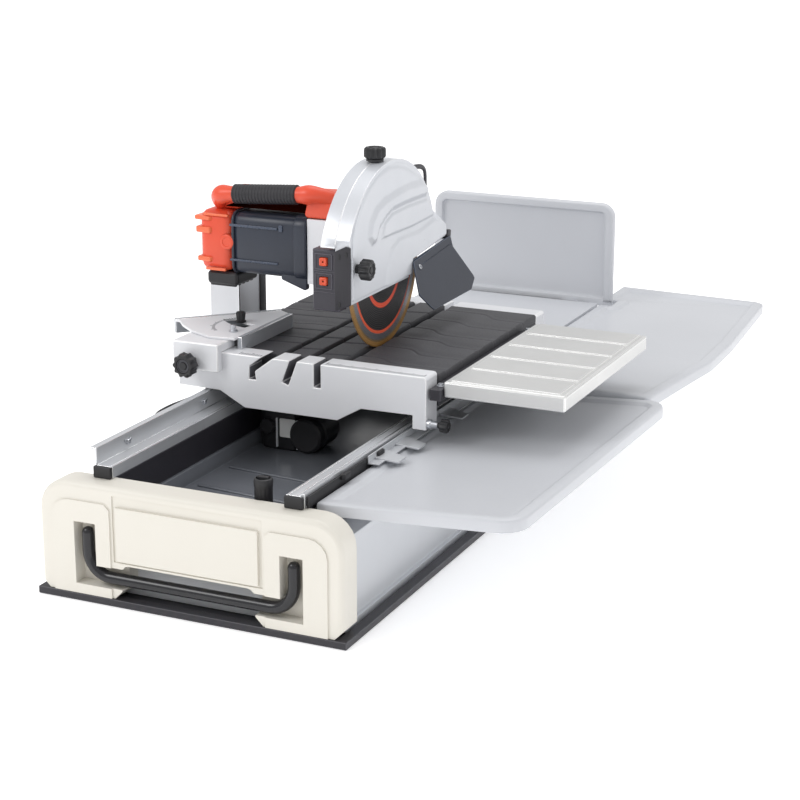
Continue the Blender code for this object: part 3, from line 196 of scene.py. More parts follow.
def new_mesh(name, points, faces, material, crease=32):
    """A mesh from an array of points, doubles merged, normals outward, smooth up to the crease."""
    mesh = bpy.data.meshes.new(name)
    mesh.from_pydata(np.reshape(points, (-1, 3)).tolist(), [], faces)
    form = bmesh.new()
    form.from_mesh(mesh)
    bmesh.ops.remove_doubles(form, verts=form.verts, dist=2e-6)
    bmesh.ops.dissolve_degenerate(form, edges=form.edges, dist=1e-6)
    bmesh.ops.recalc_face_normals(form, faces=form.faces)
    form.to_mesh(mesh)
    form.free()
    mesh.materials.append(material)
    mesh.shade_smooth()
    mesh.set_sharp_from_angle(angle=math.radians(crease))
    piece = bpy.data.objects.new(name, mesh)
    bpy.context.scene.collection.objects.link(piece)
    return piece


floor_u, floor_v = np.meshgrid(np.linspace(-40, 40, 9), np.linspace(-40, 40, 9))
floor_points = np.stack([floor_u, floor_v, np.full_like(floor_u, -0.0006)], axis=-1)
studio_floor = new_mesh("studio_floor", floor_points, grid_faces(9, 9, False, False), painted_board)


# ---------------------------------------------------------------- pump lead and its gland
# A 6 mm rubber-sheathed lead runs from the gland on the column, outside the left rail, to a
# grommet on the pan's shoulder. It is one fixed piece, and only its two ends are held.
def smooth_line(stops, steps=8):
    """A smooth line through the stops: between each two a cubic, which leaves every stop along the
    line that joins its neighbours (Catmull-Rom)."""
    p = np.array(stops, float)
    p = np.vstack([2 * p[0] - p[1], p, 2 * p[-1] - p[-2]])
    a, b, c, d = (p[i : len(p) - 3 + i, None, :] for i in range(4))
    t = np.linspace(0, 1, steps, endpoint=False)[None, :, None]
    line = b + t * (c - a) / 2 + t**2 * (a - 2.5 * b + 2 * c - d / 2)
    line = line + t**3 * (1.5 * b - a / 2 - 1.5 * c + d / 2)
    return np.vstack([line.reshape(-1, 3), p[-2]])


def swept(line, radius, sides=20, aside=(0.6, 0.6, 0.5), flat=1.0):
    """Rings square to a line: centre + r (a cos t + b sin t), with a and b square to the line's own
    direction. The radius is one number or one for each point, and flat squeezes the b way."""
    line = np.array(line, float)
    ahead = np.gradient(line, axis=0)
    ahead /= np.linalg.norm(ahead, axis=1, keepdims=True)
    a = np.cross(ahead, aside)
    a /= np.linalg.norm(a, axis=1, keepdims=True)
    b = np.cross(ahead, a) * flat
    t = np.linspace(0, 2 * np.pi, sides, endpoint=False)[None, :, None]
    r = np.broadcast_to(np.array(radius, float), len(line))[:, None, None]
    return line[:, None, :] + r * (a[:, None, :] * np.cos(t) + b[:, None, :] * np.sin(t))


def placed(piece, body, slot, *nodes):
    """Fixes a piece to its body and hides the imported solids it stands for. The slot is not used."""
    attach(piece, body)
    if nodes:
        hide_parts(*nodes)
    return piece


def ring_piece(name, rings, material, body, slot, nodes=(), crease=32):
    """A closed piece made of its rings, with a face over the first and the last, on its body."""
    piece = new_mesh(name, rings, grid_faces(*rings.shape[:2]), material, crease)
    return placed(piece, body, slot, *nodes)


# Sheath rubber: black, satin, with a faint matt bloom; its 1 mm skin texture is drawn at 2 mm.
sheath_rubber = finish("extruded_sheath_rubber", ("#232326", "#2E2E31"), 0.55, 0.002, 0.00004)
lead_route = np.array([
    (-241.2, 665, 200), (-233, 665, 200), (-220, 648, 204), (-210, 600, 208), (-198, 540, 211),
    (-190, 480, 211), (-187, 410, 208), (-188, 345, 206), (-196, 290, 205), (-199, 258, 200),
    (-193, 240, 186), (-189, 238, 165), (-187, 242, 148),
]) / 1000
lead_rings = swept(smooth_line(lead_route), 0.003, 14)
ring_piece("pump_lead_sheath", lead_rings, sheath_rubber, "base", "black_rubber", ("pump_lead",))


def turned(base, axis, profile, sides=40, lobes=0, depth=0.0):
    """A profile of (height, radius, fluting) rows turned about an axis. A flute pulls the radius in
    by depth x fluting x (1 - cos(lobes t)) / 2. Rows of zero radius close the ends."""
    h, r, f = np.array(profile, float).T[:, :, None]
    t = np.linspace(0, 2 * np.pi, sides, endpoint=False)[None, :]
    r = r * (1 - depth * f * (1 - np.cos(lobes * t)) / 2)
    turn = np.array(Vector((0, 0, 1)).rotation_difference(Vector(axis)).to_matrix())
    rings = np.stack([r * np.cos(t), r * np.sin(t), h + 0 * t], axis=-1)
    return rings @ turn.T + np.array(base)


def turned_piece(name, base, axis, profile, material, body, slot, nodes=(), sides=40, lobes=0, depth=0.0):
    """A turned profile as a closed piece on its body."""
    rings = turned(base, axis, profile, sides, lobes, depth)
    faces = grid_faces(*rings.shape[:2], capped=False)
    return placed(new_mesh(name, rings, faces, material), body, slot, *nodes)


gland_profile = [
    (0.0, 0.0, 0), (0.0, 0.0085, 0), (0.0035, 0.0088, 1), (0.0042, 0.0072, 0), (0.0085, 0.0068, 0),
    (0.0112, 0.0045, 0), (0.0112, 0.0, 0),
]
turned_piece(
    "cable_gland_nut", (-0.2537, 0.665, 0.2), (1, 0, 0), gland_profile, sheath_rubber,
    "base", "black_plastic", ("cable_gland",), 48, 6, 0.12,
)

grommet_profile = [
    (0.0, 0.0, 0), (0.0, 0.0105, 0), (0.0035, 0.0105, 0), (0.0050, 0.0088, 0), (0.0115, 0.0056, 0),
    (0.0125, 0.0045, 0), (0.0125, 0.0, 0),
]
turned_piece(
    "lead_grommet", (-0.187, 0.242, 0.1382), (0, 0, 1), grommet_profile, sheath_rubber,
    "base", "black_rubber", (), 40,
)


# ---------------------------------------------------------------- base plate
# A shallow pressed-steel tray that the whole saw stands on, powder-coated satin black. The
# coat is thin on its folded edges, which are shiny and painted a little grey as a highlight.
def refined(node, slot, material, width=0.001, segments=2, edge=None, crease=32, flat=0.6):
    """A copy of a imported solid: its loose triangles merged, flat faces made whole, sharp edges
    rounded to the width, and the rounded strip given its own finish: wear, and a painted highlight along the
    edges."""
    source = frame["nodes"][node]
    mesh = bpy.data.meshes.new(f"{node}_finished")
    form = bmesh.new()
    form.from_mesh(source.data)
    bmesh.ops.remove_doubles(form, verts=form.verts, dist=5e-6)
    bmesh.ops.dissolve_degenerate(form, edges=form.edges, dist=1e-5)
    bmesh.ops.dissolve_limit(
        form, angle_limit=math.radians(flat), verts=form.verts, edges=form.edges
    )
    form.to_mesh(mesh)
    form.free()
    mesh.materials.clear()
    mesh.materials.append(material)
    mesh.materials.append(edge or material)
    mesh.polygons.foreach_set("material_index", np.zeros(len(mesh.polygons), np.int32))
    mesh.shade_smooth()
    mesh.set_sharp_from_angle(angle=math.radians(crease))
    piece = bpy.data.objects.new(f"{node}_finished", mesh)
    bpy.context.scene.collection.objects.link(piece)
    if width:
        rounding = piece.modifiers.new("rounded_edges", "BEVEL")
        rounding.width = width
        rounding.segments = segments
        rounding.limit_method = "ANGLE"
        rounding.angle_limit = math.radians(crease)
        # The rounded strip takes the second finish, which for most pieces is the painted edge highlight.
        rounding.material = 1
        rounding.harden_normals = True
    return placed(piece, source["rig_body"], slot, node)


# Powder coat: satin black with a fine orange peel; the real 1 mm peel is drawn at 3 mm.
powder_black = finish("powder_coated_steel_black", ("#242329", "#2E2C33"), 0.42, 0.003, 0.00012)
# Its edges: the coat is thinner and rubbed, and shinier; they are painted greyer as a highlight.
powder_edge_highlight = finish("powder_coated_steel_edge_painted_highlight", ("#3A393F", "#504F55"), 0.34, 0.003, 0.0001)
refined("base_plate", "black_steel", powder_black, 0.0012, 2, powder_edge_highlight)


# ---------------------------------------------------------------- water pan
# A deep tub moulded in grey ABS, which sits in the base plate. Its inside is painted darker as the
# shade under the table, and glossy; the outer wall stays pale.
# Pan ABS: pale, even grey with a fine moulded grain drawn at 4 mm.
pale_grey_abs = finish("moulded_abs_pale_grey", ("#D3D6DA", "#DBDDE1"), 0.40, 0.004, 0.00008)
# Basin ABS: the same plastic, darkened as painted shade and glossy, in slow 30 mm swells.
basin_painted_shade_abs = finish("moulded_abs_grey_painted_shade", ("#5E6167", "#7C7F86"), 0.16, 0.03, 0.0004, drift=0.14)
pan = refined("water_pan", "pan_plastic", pale_grey_abs, 0.002, 3)
pan.modifiers["rounded_edges"].material = -1


def face_fields(piece):
    """The middle and the direction of every face, as two arrays."""
    fields = []
    for field in ("center", "normal"):
        values = np.empty(len(piece.data.polygons) * 3)
        piece.data.polygons.foreach_get(field, values)
        fields.append(values.reshape(-1, 3))
    return fields


middles, _ = face_fields(pan)
# The faces inside the basin take the darker finish: painted shade under the table.
inside = (abs(middles[:, 0]) < 0.160) & (middles[:, 1] > 0.06)
inside &= (middles[:, 2] > 0.1) & (middles[:, 2] < 0.1302)
pan.data.materials.append(basin_painted_shade_abs)
pan.data.polygons.foreach_set("material_index", np.where(inside, 2, 0).astype(np.int32))


def outline_round(corners, radii, steps=6):
    """The corners of a closed outline, each rounded by an arc of its own radius: the arc starts
    r / tan(half the corner) from it and turns about a centre on its bisector."""
    p = np.array(corners, float)
    r = np.broadcast_to(np.array(radii, float), len(p))[:, None]
    to_last = np.roll(p, 1, 0) - p
    to_next = np.roll(p, -1, 0) - p
    to_last /= np.linalg.norm(to_last, axis=1, keepdims=True)
    to_next /= np.linalg.norm(to_next, axis=1, keepdims=True)
    half = np.arccos(np.clip((to_last * to_next).sum(1, keepdims=True), -1, 1)) / 2
    middle = to_last + to_next
    middle /= np.linalg.norm(middle, axis=1, keepdims=True)
    centre = p + middle * r / np.sin(half)
    start = p + to_last * r / np.tan(half) - centre
    end = p + to_next * r / np.tan(half) - centre
    t = np.linspace(0, 1, steps)[None, :, None]
    arc = start[:, None, :] * (1 - t) + end[:, None, :] * t
    arc *= r[:, None, :] / np.maximum(np.linalg.norm(arc, axis=2, keepdims=True), 1e-9)
    return (centre[:, None, :] + arc).reshape(-1, 2)


def rounded_rings(corners, radii, profile, plane="XY", steps=6):
    """Sharp corners carried through (inset, height) steps, and rounded at each step: a convex corner
    loses the inset from its radius and a hollow one gains it, so a deep inset never folds over."""
    p = np.array(corners, float)
    side = np.roll(p, -1, 0) - p
    side /= np.linalg.norm(side, axis=1, keepdims=True)
    last = np.roll(side, 1, 0)
    mitre = np.stack([-last[:, 1] - side[:, 1], last[:, 0] + side[:, 0]], axis=1)
    mitre /= 1 + (last * side).sum(1, keepdims=True)
    bulge = np.sign(last[:, 0] * side[:, 1] - last[:, 1] * side[:, 0])
    rings = []
    for inset, height in profile:
        outline = outline_round(p + inset * mitre, np.maximum(np.array(radii) - inset * bulge, 0.0004),
                                steps)
        rings.append(np.insert(outline, 2, height, axis=1))
    order = {"XY": (0, 1, 2), "XZ": (0, 2, 1), "YZ": (2, 0, 1)}[plane]
    return np.array(rings)[..., order]


def inset_rings(outline, profile, plane="XY"):
    """An outline carried through (inset, height) steps: each corner goes in along the mitre of its
    two sides, p + i (m + n) / (1 + m.n). The plane says which way the heights run."""
    p = np.array(outline, float)
    if np.sum(p[:, 0] * np.roll(p[:, 1], -1) - np.roll(p[:, 0], -1) * p[:, 1]) < 0:
        p = p[::-1]
    side = np.roll(p, -1, 0) - p
    side /= np.maximum(np.linalg.norm(side, axis=1, keepdims=True), 1e-9)
    n = np.stack([-side[:, 1], side[:, 0]], axis=1)
    m = np.roll(n, 1, 0)
    mitre = (m + n) / np.maximum(1 + (m * n).sum(1, keepdims=True), 0.3)
    inset, height = np.array(profile, float).T
    flat = p[None] + inset[:, None, None] * mitre[None]
    height = np.broadcast_to(height[:, None], flat.shape[:2])
    order = {"XY": (0, 1, 2), "XZ": (0, 2, 1), "YZ": (2, 0, 1)}[plane]
    return np.stack([flat[..., 0], flat[..., 1], height], axis=-1)[..., order]


def plate(name, outline, low, high, edge, plane, material, body, slot, nodes=()):
    """A flat plate of this outline between two heights, its edges rounded by a quarter circle."""
    t = np.radians([0, 30, 60, 90])
    foot = [(edge * (1 - math.sin(a)), low + edge * (1 - math.cos(a))) for a in t]
    head = [(edge * (1 - math.cos(a)), high - edge * (1 - math.sin(a))) for a in t]
    rings = inset_rings(outline, foot + head, plane)
    return ring_piece(name, rings, material, body, slot, nodes)


# Three shallow ridges cross the pan's floor and steer the slurry to the drain.
for i, ridge_y in enumerate((0.150, 0.235, 0.330)):
    ridge = [(-0.118, ridge_y), (0.118, ridge_y - 0.022), (0.118, ridge_y - 0.014),
             (-0.118, ridge_y + 0.008)]
    plate(f"pan_floor_ridge_{i}", outline_round(ridge, 0.003), 0.1055, 0.1085, 0.0015, "XY",
          basin_painted_shade_abs, "base", "pan_plastic")


# ---------------------------------------------------------------- front panel
# A thick moulding in cream ABS that covers the front of the frame, with a blank raised name
# field, two feet, and pockets for the ends of the carry handle. It is screwed on from inside.
# Cream ABS: warm off-white and satin, its colour drifting a little in the sun.
cream_abs = finish("moulded_abs_cream", ("#DDD9CF", "#E2DED5"), 0.42, 0.004, 0.00007, drift=0.12)
panel = refined("front_panel", "cream_plastic", cream_abs, 0.0019, 3)
panel_edges = panel.data.edges
ends = np.empty(len(panel_edges) * 2, np.int32)
panel_edges.foreach_get("vertices", ends)
spots = np.empty(len(panel.data.vertices) * 3)
panel.data.vertices.foreach_get("co", spots)
x, y, z = spots.reshape(-1, 3).T
# Only the panel's outer front rim is rounded wide: its two sides, its top and the arcs between.
panel_side, panel_top, panel_round = 0.239, 0.1757, 0.045
arc_x, arc_z = panel_side - panel_round, panel_top - panel_round
from_arc = abs(np.hypot(abs(x) - arc_x, z - arc_z) - panel_round)
on_arc = (abs(x) > arc_x) & (z > arc_z) & (from_arc < 0.001)
on_rim = (abs(abs(x) - panel_side) < 0.0003) | (abs(z - panel_top) < 0.0003) | on_arc
on_rim &= (y > 0.0032) & (y < 0.004)
soft_edge = on_rim[ends[0::2]] & on_rim[ends[1::2]]
weights = panel.data.attributes.new("bevel_weight_edge", "FLOAT", "EDGE")
weights.data.foreach_set("value", soft_edge.astype(np.float32))
soft_rim = panel.modifiers.new("soft_outer_rim", "BEVEL")
soft_rim.width = 0.007
soft_rim.segments = 4
soft_rim.limit_method = "WEIGHT"
panel.modifiers.move(1, 0)


# ---------------------------------------------------------------- carry handle
# A 17.5 mm steel tube bent to a U and dipped in gloss black enamel. Its round ends turn on
# pins in the panel's pockets.
# Enamel: deep black, wet-looking, with a slow ripple that bends its long highlight.
gloss_enamel = finish("gloss_enamelled_tube_black", ("#17171A", "#212126"), 0.2, 0.012, 0.0001)
tube_radius, bend_radius = 0.00875, 0.036
leg_x, leg_y, leg_top, bar_z = 0.163, 0.010, 0.1085, 0.039
turn = np.radians(np.linspace(0, 90, 10))[:, None]
bend_left = np.hstack([
    bend_radius * (1 - np.cos(turn)) - leg_x, 0 * turn + leg_y, bar_z + bend_radius * (1 - np.sin(turn))
])
rise = np.linspace(leg_top, bar_z + bend_radius + 0.005, 5)[1:, None]
leg_left = np.hstack([0 * rise - leg_x, 0 * rise + leg_y, rise])
span = np.linspace(-0.120, 0.120, 13)[:, None]
bar = np.hstack([span, 0 * span + leg_y, 0 * span + bar_z])
# The ends are domes: (height over the leg's top, radius) steps of a low, round cap.
dome = np.array([(0.0020, 0.0), (0.0016, 0.0030), (0.0001, 0.0059), (-0.0025, 0.0078), (-0.0055, 0.0087)])
dome_left = [(-leg_x, leg_y, leg_top + height) for height, _ in dome]
left_half = np.vstack([dome_left, leg_left, bend_left])
handle_line = np.vstack([left_half, bar, left_half[::-1] * (-1, 1, 1)])
handle_radius = np.full(len(handle_line), tube_radius)
handle_radius[: len(dome)] = dome[:, 1]
handle_radius[-len(dome) :] = dome[::-1, 1]
handle_rings = swept(handle_line, handle_radius, 28, (0, 1, 0))
ring_piece("carry_handle_tube", handle_rings, gloss_enamel, "handle", "black_steel", ("carry_handle",),
           crease=50)


# ---------------------------------------------------------------- drain plug
# A rubber bung that stands in the pan's drain, with a ribbed collar and a bar across its top to
# pull it by. It is only pushed in.
def rectangle(left, right, low, high):
    """The corners of an upright rectangle, starting low on the left."""
    return [(left, low), (right, low), (right, high), (left, high)]


# Bung rubber: black and soft, with a dull skin that a mould's fine blasting left.
bung_rubber = finish("moulded_bung_rubber", ("#1F1F22", "#2C2C30"), 0.5, 0.0025, 0.00008)
plug_low, plug_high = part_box("drain_plug")
plug_profile = [
    (0, 0.0, 0), (0, 0.0105, 0), (0.045, 0.0118, 0), (0.046, 0.0135, 0), (0.052, 0.0138, 0),
    (0.054, 0.0128, 0), (0.060, 0.0128, 1), (0.082, 0.0126, 1), (0.085, 0.0132, 0), (0.092, 0.0134, 0),
    (0.0955, 0.0128, 0), (0.0965, 0.0105, 0), (0.0925, 0.0095, 0), (0.0925, 0.0, 0),
]
turned_piece("drain_bung", (0.090, 0.0625, plug_low.z), (0, 0, 1), plug_profile, bung_rubber,
             "plug", "black_rubber", ("drain_plug",), 60, 12, 0.07)
bar_outline = outline_round(rectangle(0.0815, 0.0985, 0.0595, 0.0655), 0.002)
plate("drain_bung_pull", bar_outline, plug_high.z - 0.007, plug_high.z, 0.001, "XY", bung_rubber,
      "plug", "black_rubber")


# ---------------------------------------------------------------- side beams and rear channel
# Two folded-steel channels stand on the pan's deck and carry the rails; a third ties them at the
# back. All three are powder-coated like the base and screwed to each other.
for beam in ("left_side_beam", "right_side_beam", "rear_panel"):
    refined(beam, "black_steel", powder_black, 0.0008, 2, powder_edge_highlight)

# Zinc plate: bright, slightly blue, with the soft uneven gloss that barrel plating leaves.
zinc_plate = finish("zinc_plated_steel", ("#B9BCC2", "#CDCFD3"), 0.3, 0.004, 0.00005, 1.0)


def cap_screw(name, spot, axis, radius, height, body, material=zinc_plate, slot="steel"):
    """A round-headed screw with a washer and a hexagon socket, seated on its spot."""
    profile = [
        (-0.0006, 0.0, 0), (-0.0006, radius * 1.5, 0), (0.0004, radius * 1.5, 0), (0.0006, radius * 1.4, 0),
        (0.0007, radius, 0), (height * 0.8, radius * 0.98, 0), (height, radius * 0.8, 0),
        (height, radius * 0.5, 1), (height * 0.5, radius * 0.48, 1), (height * 0.5, 0.0, 0),
    ]
    return turned_piece(name, spot, axis, profile, material, body, slot, (), 36, 6, 0.12)


for side in (-1, 1):
    for i, screw_y in enumerate((0.10, 0.33, 0.56, 0.79)):
        cap_screw(f"beam_screw_{'left' if side < 0 else 'right'}_{i}", (side * 0.1415, screw_y, 0.158),
                  (side, 0, 0), 0.0035, 0.003, "base")


# ---------------------------------------------------------------- rails and their end caps
# Two extruded aluminium tracks that the table's rollers run on. The left one has an upright web
# with a lip, bolted through to its beam; the right one has a bright running ridge.
# Extruded aluminium: silver, with long fine die lines drawn 1.5 mm apart, so they show.
extruded_alu = finish(
    "extruded_aluminium", ("#C9CBCF", "#D6D8DB"), 0.38, 0.0015, 0.00001, 0.55, run=(1, 0.01, 1), vary=0.08
)
# Where the wheels run the metal is polished; its edges and running lines are painted bright as a highlight.
alu_edge_highlight = finish("aluminium_edge_painted_highlight", ("#E9EAEC", "#F4F4F5"), 0.2, 0.002, 0.00003, 1.0,
                  run=(1, 0.02, 1))
refined("left_rail", "aluminium", extruded_alu, 0.0006, 2, alu_edge_highlight)
refined("right_rail", "aluminium", extruded_alu, 0.0006, 2, alu_edge_highlight)
# Glass-filled nylon: black and dry-looking, with a fine speckle drawn at 2 mm.
black_nylon = finish("glass_filled_nylon_black", ("#1C1C1F", "#28282B"), 0.48, 0.002, 0.00008)
refined("left_rail_cap", "black_plastic", black_nylon, 0.001, 3)
refined("right_rail_cap", "black_plastic", black_nylon, 0.001, 3)
# Fine running lines on the tops of both tracks, painted bright as highlights.
for name, line_x, line_z in (
    ("left_outer", -0.1610, 0.193), ("left_inner", -0.1405, 0.193),
    ("right_outer", 0.1410, 0.193), ("right_inner", 0.1540, 0.193),
):
    strip = rectangle(line_x - 0.0007, line_x + 0.0007, 0.0400, 0.8540)
    plate(f"rail_line_{name}", strip, line_z - 0.0004, line_z + 0.0008, 0.0004, "XY", alu_edge_highlight, "base",
          "aluminium")
for i, bolt_y in enumerate((0.118, 0.336, 0.556, 0.770)):
    cap_screw(f"rail_web_bolt_{i}", (-0.1638, bolt_y, 0.2045), (1, 0, 0), 0.0042, 0.006, "base")
    wing_nut = outline_round([
        (bolt_y - 0.0085, 0.2080), (bolt_y - 0.0028, 0.2015), (bolt_y + 0.0028, 0.2015),
        (bolt_y + 0.0085, 0.2080), (bolt_y + 0.0065, 0.2098), (bolt_y, 0.2060), (bolt_y - 0.0065, 0.2098),
    ], 0.0009)
    plate(f"rail_wing_nut_{i}", wing_nut, -0.1612, -0.1588, 0.0006, "YZ", zinc_plate, "base", "steel")
# A black wiper strip with two clips runs along the outside of the right track.
strip = rectangle(0.1662, 0.1695, 0.1768, 0.1925)
plate("right_wiper_strip", outline_round(strip, 0.0008), 0.042, 0.350, 0.0006, "XZ", black_nylon,
      "base", "black_plastic")
for i, clip_y in enumerate((0.150, 0.262)):
    clip = outline_round([(0.1690, clip_y - 0.012), (0.1760, clip_y - 0.009), (0.1760, clip_y + 0.009),
                          (0.1690, clip_y + 0.012)], 0.002)
    plate(f"right_wiper_clip_{i}", clip, 0.1868, 0.1945, 0.001, "XY", black_nylon, "base", "black_plastic")


# ---------------------------------------------------------------- column and head beam
# An aluminium box section stands behind the left of the base and carries a beam over the table
# with a curved track, on which the head tilts. A black strip on the column's right face is painted shade.
refined("column", "aluminium", extruded_alu, 0.002, 3, alu_edge_highlight)
refined("column_arm", "silver_paint", extruded_alu, 0.002, 3, alu_edge_highlight)
# The strip stands for the shade the head casts on the column's right face: painted shade.
column_shade_outline = outline_round(rectangle(0.690, 0.711, 0.030, 0.424), 0.002)
plate("column_painted_shade_strip", column_shade_outline, -0.2542, -0.2524, 0.0008, "YZ", black_nylon, "base", "black_plastic")
for i, screw_z in enumerate((0.05, 0.39)):
    cap_screw(f"column_shade_strip_screw_{i}", (-0.2526, 0.7005, screw_z), (1, 0, 0), 0.0035, 0.003, "base")


# ---------------------------------------------------------------- water pump
# A small submersible pump in black plastic: a motor can, a round impeller housing with a ribbed
# foot, and a blank white rating plate. It only stands in the pan.
pump_low, pump_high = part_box("water_pump")
pump_shell = outline_round(rectangle(-0.125, -0.060, 0.442, 0.518), (0.016, 0.004, 0.004, 0.016))
plate("pump_motor_can", pump_shell, pump_low.z, pump_high.z - 0.006, 0.005, "XY", black_nylon,
      "base", "black_plastic", ("water_pump",))
housing_profile = [
    (0, 0.0, 0), (0, 0.024, 0), (0.003, 0.0275, 0), (0.010, 0.0285, 0), (0.012, 0.0262, 0),
    (0.020, 0.0262, 0), (0.022, 0.0285, 0), (0.064, 0.0285, 0), (0.072, 0.026, 0), (0.072, 0.0, 0),
]
turned_piece("pump_impeller_housing", (-0.0395, 0.436, pump_low.z + 0.0296), (0, 1, 0), housing_profile,
             black_nylon, "base", "black_plastic")
turned_piece("pump_inlet_cap", (-0.105, 0.4315, pump_low.z + 0.040), (0, 1, 0), [
    (0, 0.0, 0), (0, 0.011, 0), (0.001, 0.0125, 1), (0.011, 0.0125, 1), (0.012, 0.011, 0), (0.012, 0.0, 0),
], black_nylon, "base", "black_plastic", (), 48, 10, 0.1)
# Plate stock: white self-adhesive vinyl, slightly yellowed and left blank.
white_vinyl = finish("blank_white_vinyl", ("#E9EAE8", "#F3F3F1"), 0.38, 0.004, 0.00003)
label = outline_round(rectangle(-0.0860, -0.0580, 0.129, 0.1595), 0.002)
plate("pump_blank_plate", label, 0.4402, 0.4425, 0.0005, "XZ", white_vinyl, "base", "black_plastic")
for i, rib_x in enumerate((-0.0545, -0.0905)):
    rib = rectangle(rib_x - 0.0012, rib_x + 0.0012, 0.112, 0.160)
    plate(f"pump_rib_{i}", rib, 0.4385, 0.4430, 0.0005, "XZ", pale_grey_abs, "base", "black_plastic")


# ---------------------------------------------------------------- side trays and rear shelf
# Thin vacuum-formed trays in pale grey polystyrene that catch the run-off. Each has a skirt, a
# flat rim and a floor a few millimetres lower, so the water stays in; they hook to the frame.
# Vacuum-formed polystyrene: pale cool grey, satin, with a soft uneven gloss from the forming.
formed_styrene = finish("vacuum_formed_polystyrene", ("#C6C8CD", "#CFD1D6"), 0.34, 0.006, 0.00012,
                        drift=0.2)


def formed_tray(name, corners, radii, top, skirt, rim, step, slope, node):
    """A tray formed over this outline: skirt, rounded shoulder, flat rim, sloping step and floor,
    and the same inside a 2.5 mm wall. The slope lifts it along X."""
    wall, turn_radius = 0.0025, 0.004
    t = np.radians([0, 30, 60, 90])
    shoulder = [(turn_radius * (1 - math.cos(a)), top - turn_radius * (1 - math.sin(a))) for a in t]
    profile = [(rim + 0.006, top - step - wall), (wall + 0.002, top - wall), (wall, top - wall - 0.003),
               (wall, top - skirt), (0.0, top - skirt)]
    profile += shoulder
    profile += [(rim - 0.002, top), (rim, top - 0.0006), (rim + 0.004, top - step + 0.0006),
                (rim + 0.007, top - step)]
    rings = rounded_rings(corners, radii, profile)
    rings[..., 2] += slope * (rings[..., 0] - 0.17)
    faces = grid_faces(*rings.shape[:2])
    return placed(new_mesh(name, rings, faces, formed_styrene, 50), "base", "tray_plastic", node)


front_corners = [(0.1702, 0.062), (0.464, 0.062), (0.480, 0.673), (0.1702, 0.673)]
formed_tray("front_side_tray_formed", front_corners, (0.003, 0.034, 0.038, 0.003), 0.1788, 0.0178, 0.018,
            0.005, 0.017 / 0.31, "front_side_tray")
rear_corners = [
    (0.1732, 0.680), (0.446, 0.676), (0.464, 0.838), (0.475, 0.930), (0.473, 1.066), (0.452, 1.370),
    (0.436, 1.380), (0.1672, 1.396), (0.1672, 1.278), (0.1942, 1.278), (0.1942, 1.236), (0.1732, 1.236),
]
rear_radii = (0.003, 0.010, 0.2, 0.15, 0.2, 0.012, 0.012, 0.004, 0.003, 0.004, 0.004, 0.004)
formed_tray("rear_side_tray_formed", rear_corners, rear_radii, 0.196, 0.018, 0.018, 0.005, 0.0,
            "rear_side_tray")
refined("rear_shelf", "tray_plastic", formed_styrene, 0.0015, 3)
# A folded aluminium strip along the right track carries the front tray, with three hook tabs.
angle_strip = [(0.1702, 0.1836), (0.1880, 0.1846), (0.1880, 0.1862), (0.1720, 0.1856), (0.1720, 0.1960),
               (0.1702, 0.1960)]
plate("tray_hook_strip", angle_strip, 0.225, 0.655, 0.0004, "XZ", extruded_alu, "base", "aluminium")
for i, tab_y in enumerate((0.245, 0.315, 0.480)):
    tab = outline_round([(0.1715, tab_y), (0.2080, tab_y + 0.004), (0.2080, tab_y + 0.030),
                         (0.1715, tab_y + 0.040)], 0.002)
    tab_rings = inset_rings(tab, [(0.0004, 0.1862), (0.0, 0.1866), (0.0, 0.1886), (0.0004, 0.1890)])
    tab_rings[..., 2] -= 0.1 * (tab_rings[..., 0] - 0.1715)
    ring_piece(f"tray_hook_tab_{i}", tab_rings, extruded_alu, "base", "aluminium")


# ---------------------------------------------------------------- rear splash tray
# The upright tray behind the shelf is formed from the same sheet. It stops the spray and folds
# forward over the shelf on a wire hinge.
splash_corners = rectangle(-0.172, 0.190, 0.188, 0.383)
splash_profile = [
    (0.0195, 1.2620), (0.0145, 1.2615), (0.012, 1.2545), (0.010, 1.2530), (0.0025, 1.2530),
    (0.0025, 1.2625), (0.0, 1.2625),
    (0.0, 1.2540), (0.0006, 1.2520), (0.002, 1.2507), (0.004, 1.2505), (0.0125, 1.2505), (0.0145, 1.2512),
    (0.017, 1.2585), (0.020, 1.2595),
]
splash_rings = rounded_rings(splash_corners, (0.004, 0.004, 0.026, 0.026), splash_profile, "XZ", 8)
ring_piece("rear_splash_tray_formed", splash_rings, formed_styrene, "splash_tray", "tray_plastic",
           ("rear_splash_tray",), crease=50)
# Drawn wire: grey, smooth and bright, with lines too fine to show.
wire_steel = finish("bright_drawn_wire", ("#8F9196", "#A9ABB0"), 0.28, 0.003, 0.00003, 1.0)
hinge_wire = swept(smooth_line([(0.176, 1.2485, 0.1995), (0.186, 1.2485, 0.1995), (0.1925, 1.2465, 0.2005),
                                (0.1935, 1.2400, 0.2010)], 6), 0.0013, 10)
ring_piece("splash_hinge_wire", hinge_wire, wire_steel, "base", "steel")


# ---------------------------------------------------------------- table castings and bed
# The sliding table is three aluminium castings bolted together and painted silver. The front one
# has the guide slots and a rule along its top edge; its rubbed edges are painted bright as a highlight.
# Silver paint on a casting: pale, semi-gloss, with the casting's sand texture drawn at 3 mm.
silver_paint = finish("silver_painted_casting", ("#DEDFE3", "#E6E7EA"), 0.40, 0.003, 0.00012, 0.05,
                      vary=0.07)
# On its edges the paint is rubbed smooth, and painted nearly white as a highlight.
silver_edge_highlight = finish("silver_paint_edge_painted_highlight", ("#F1F1F3", "#F7F7F8"), 0.26, 0.003, 0.00003, 0.1)
casting = refined("front_casting", "silver_paint", silver_paint, 0.0016, 3, silver_edge_highlight)
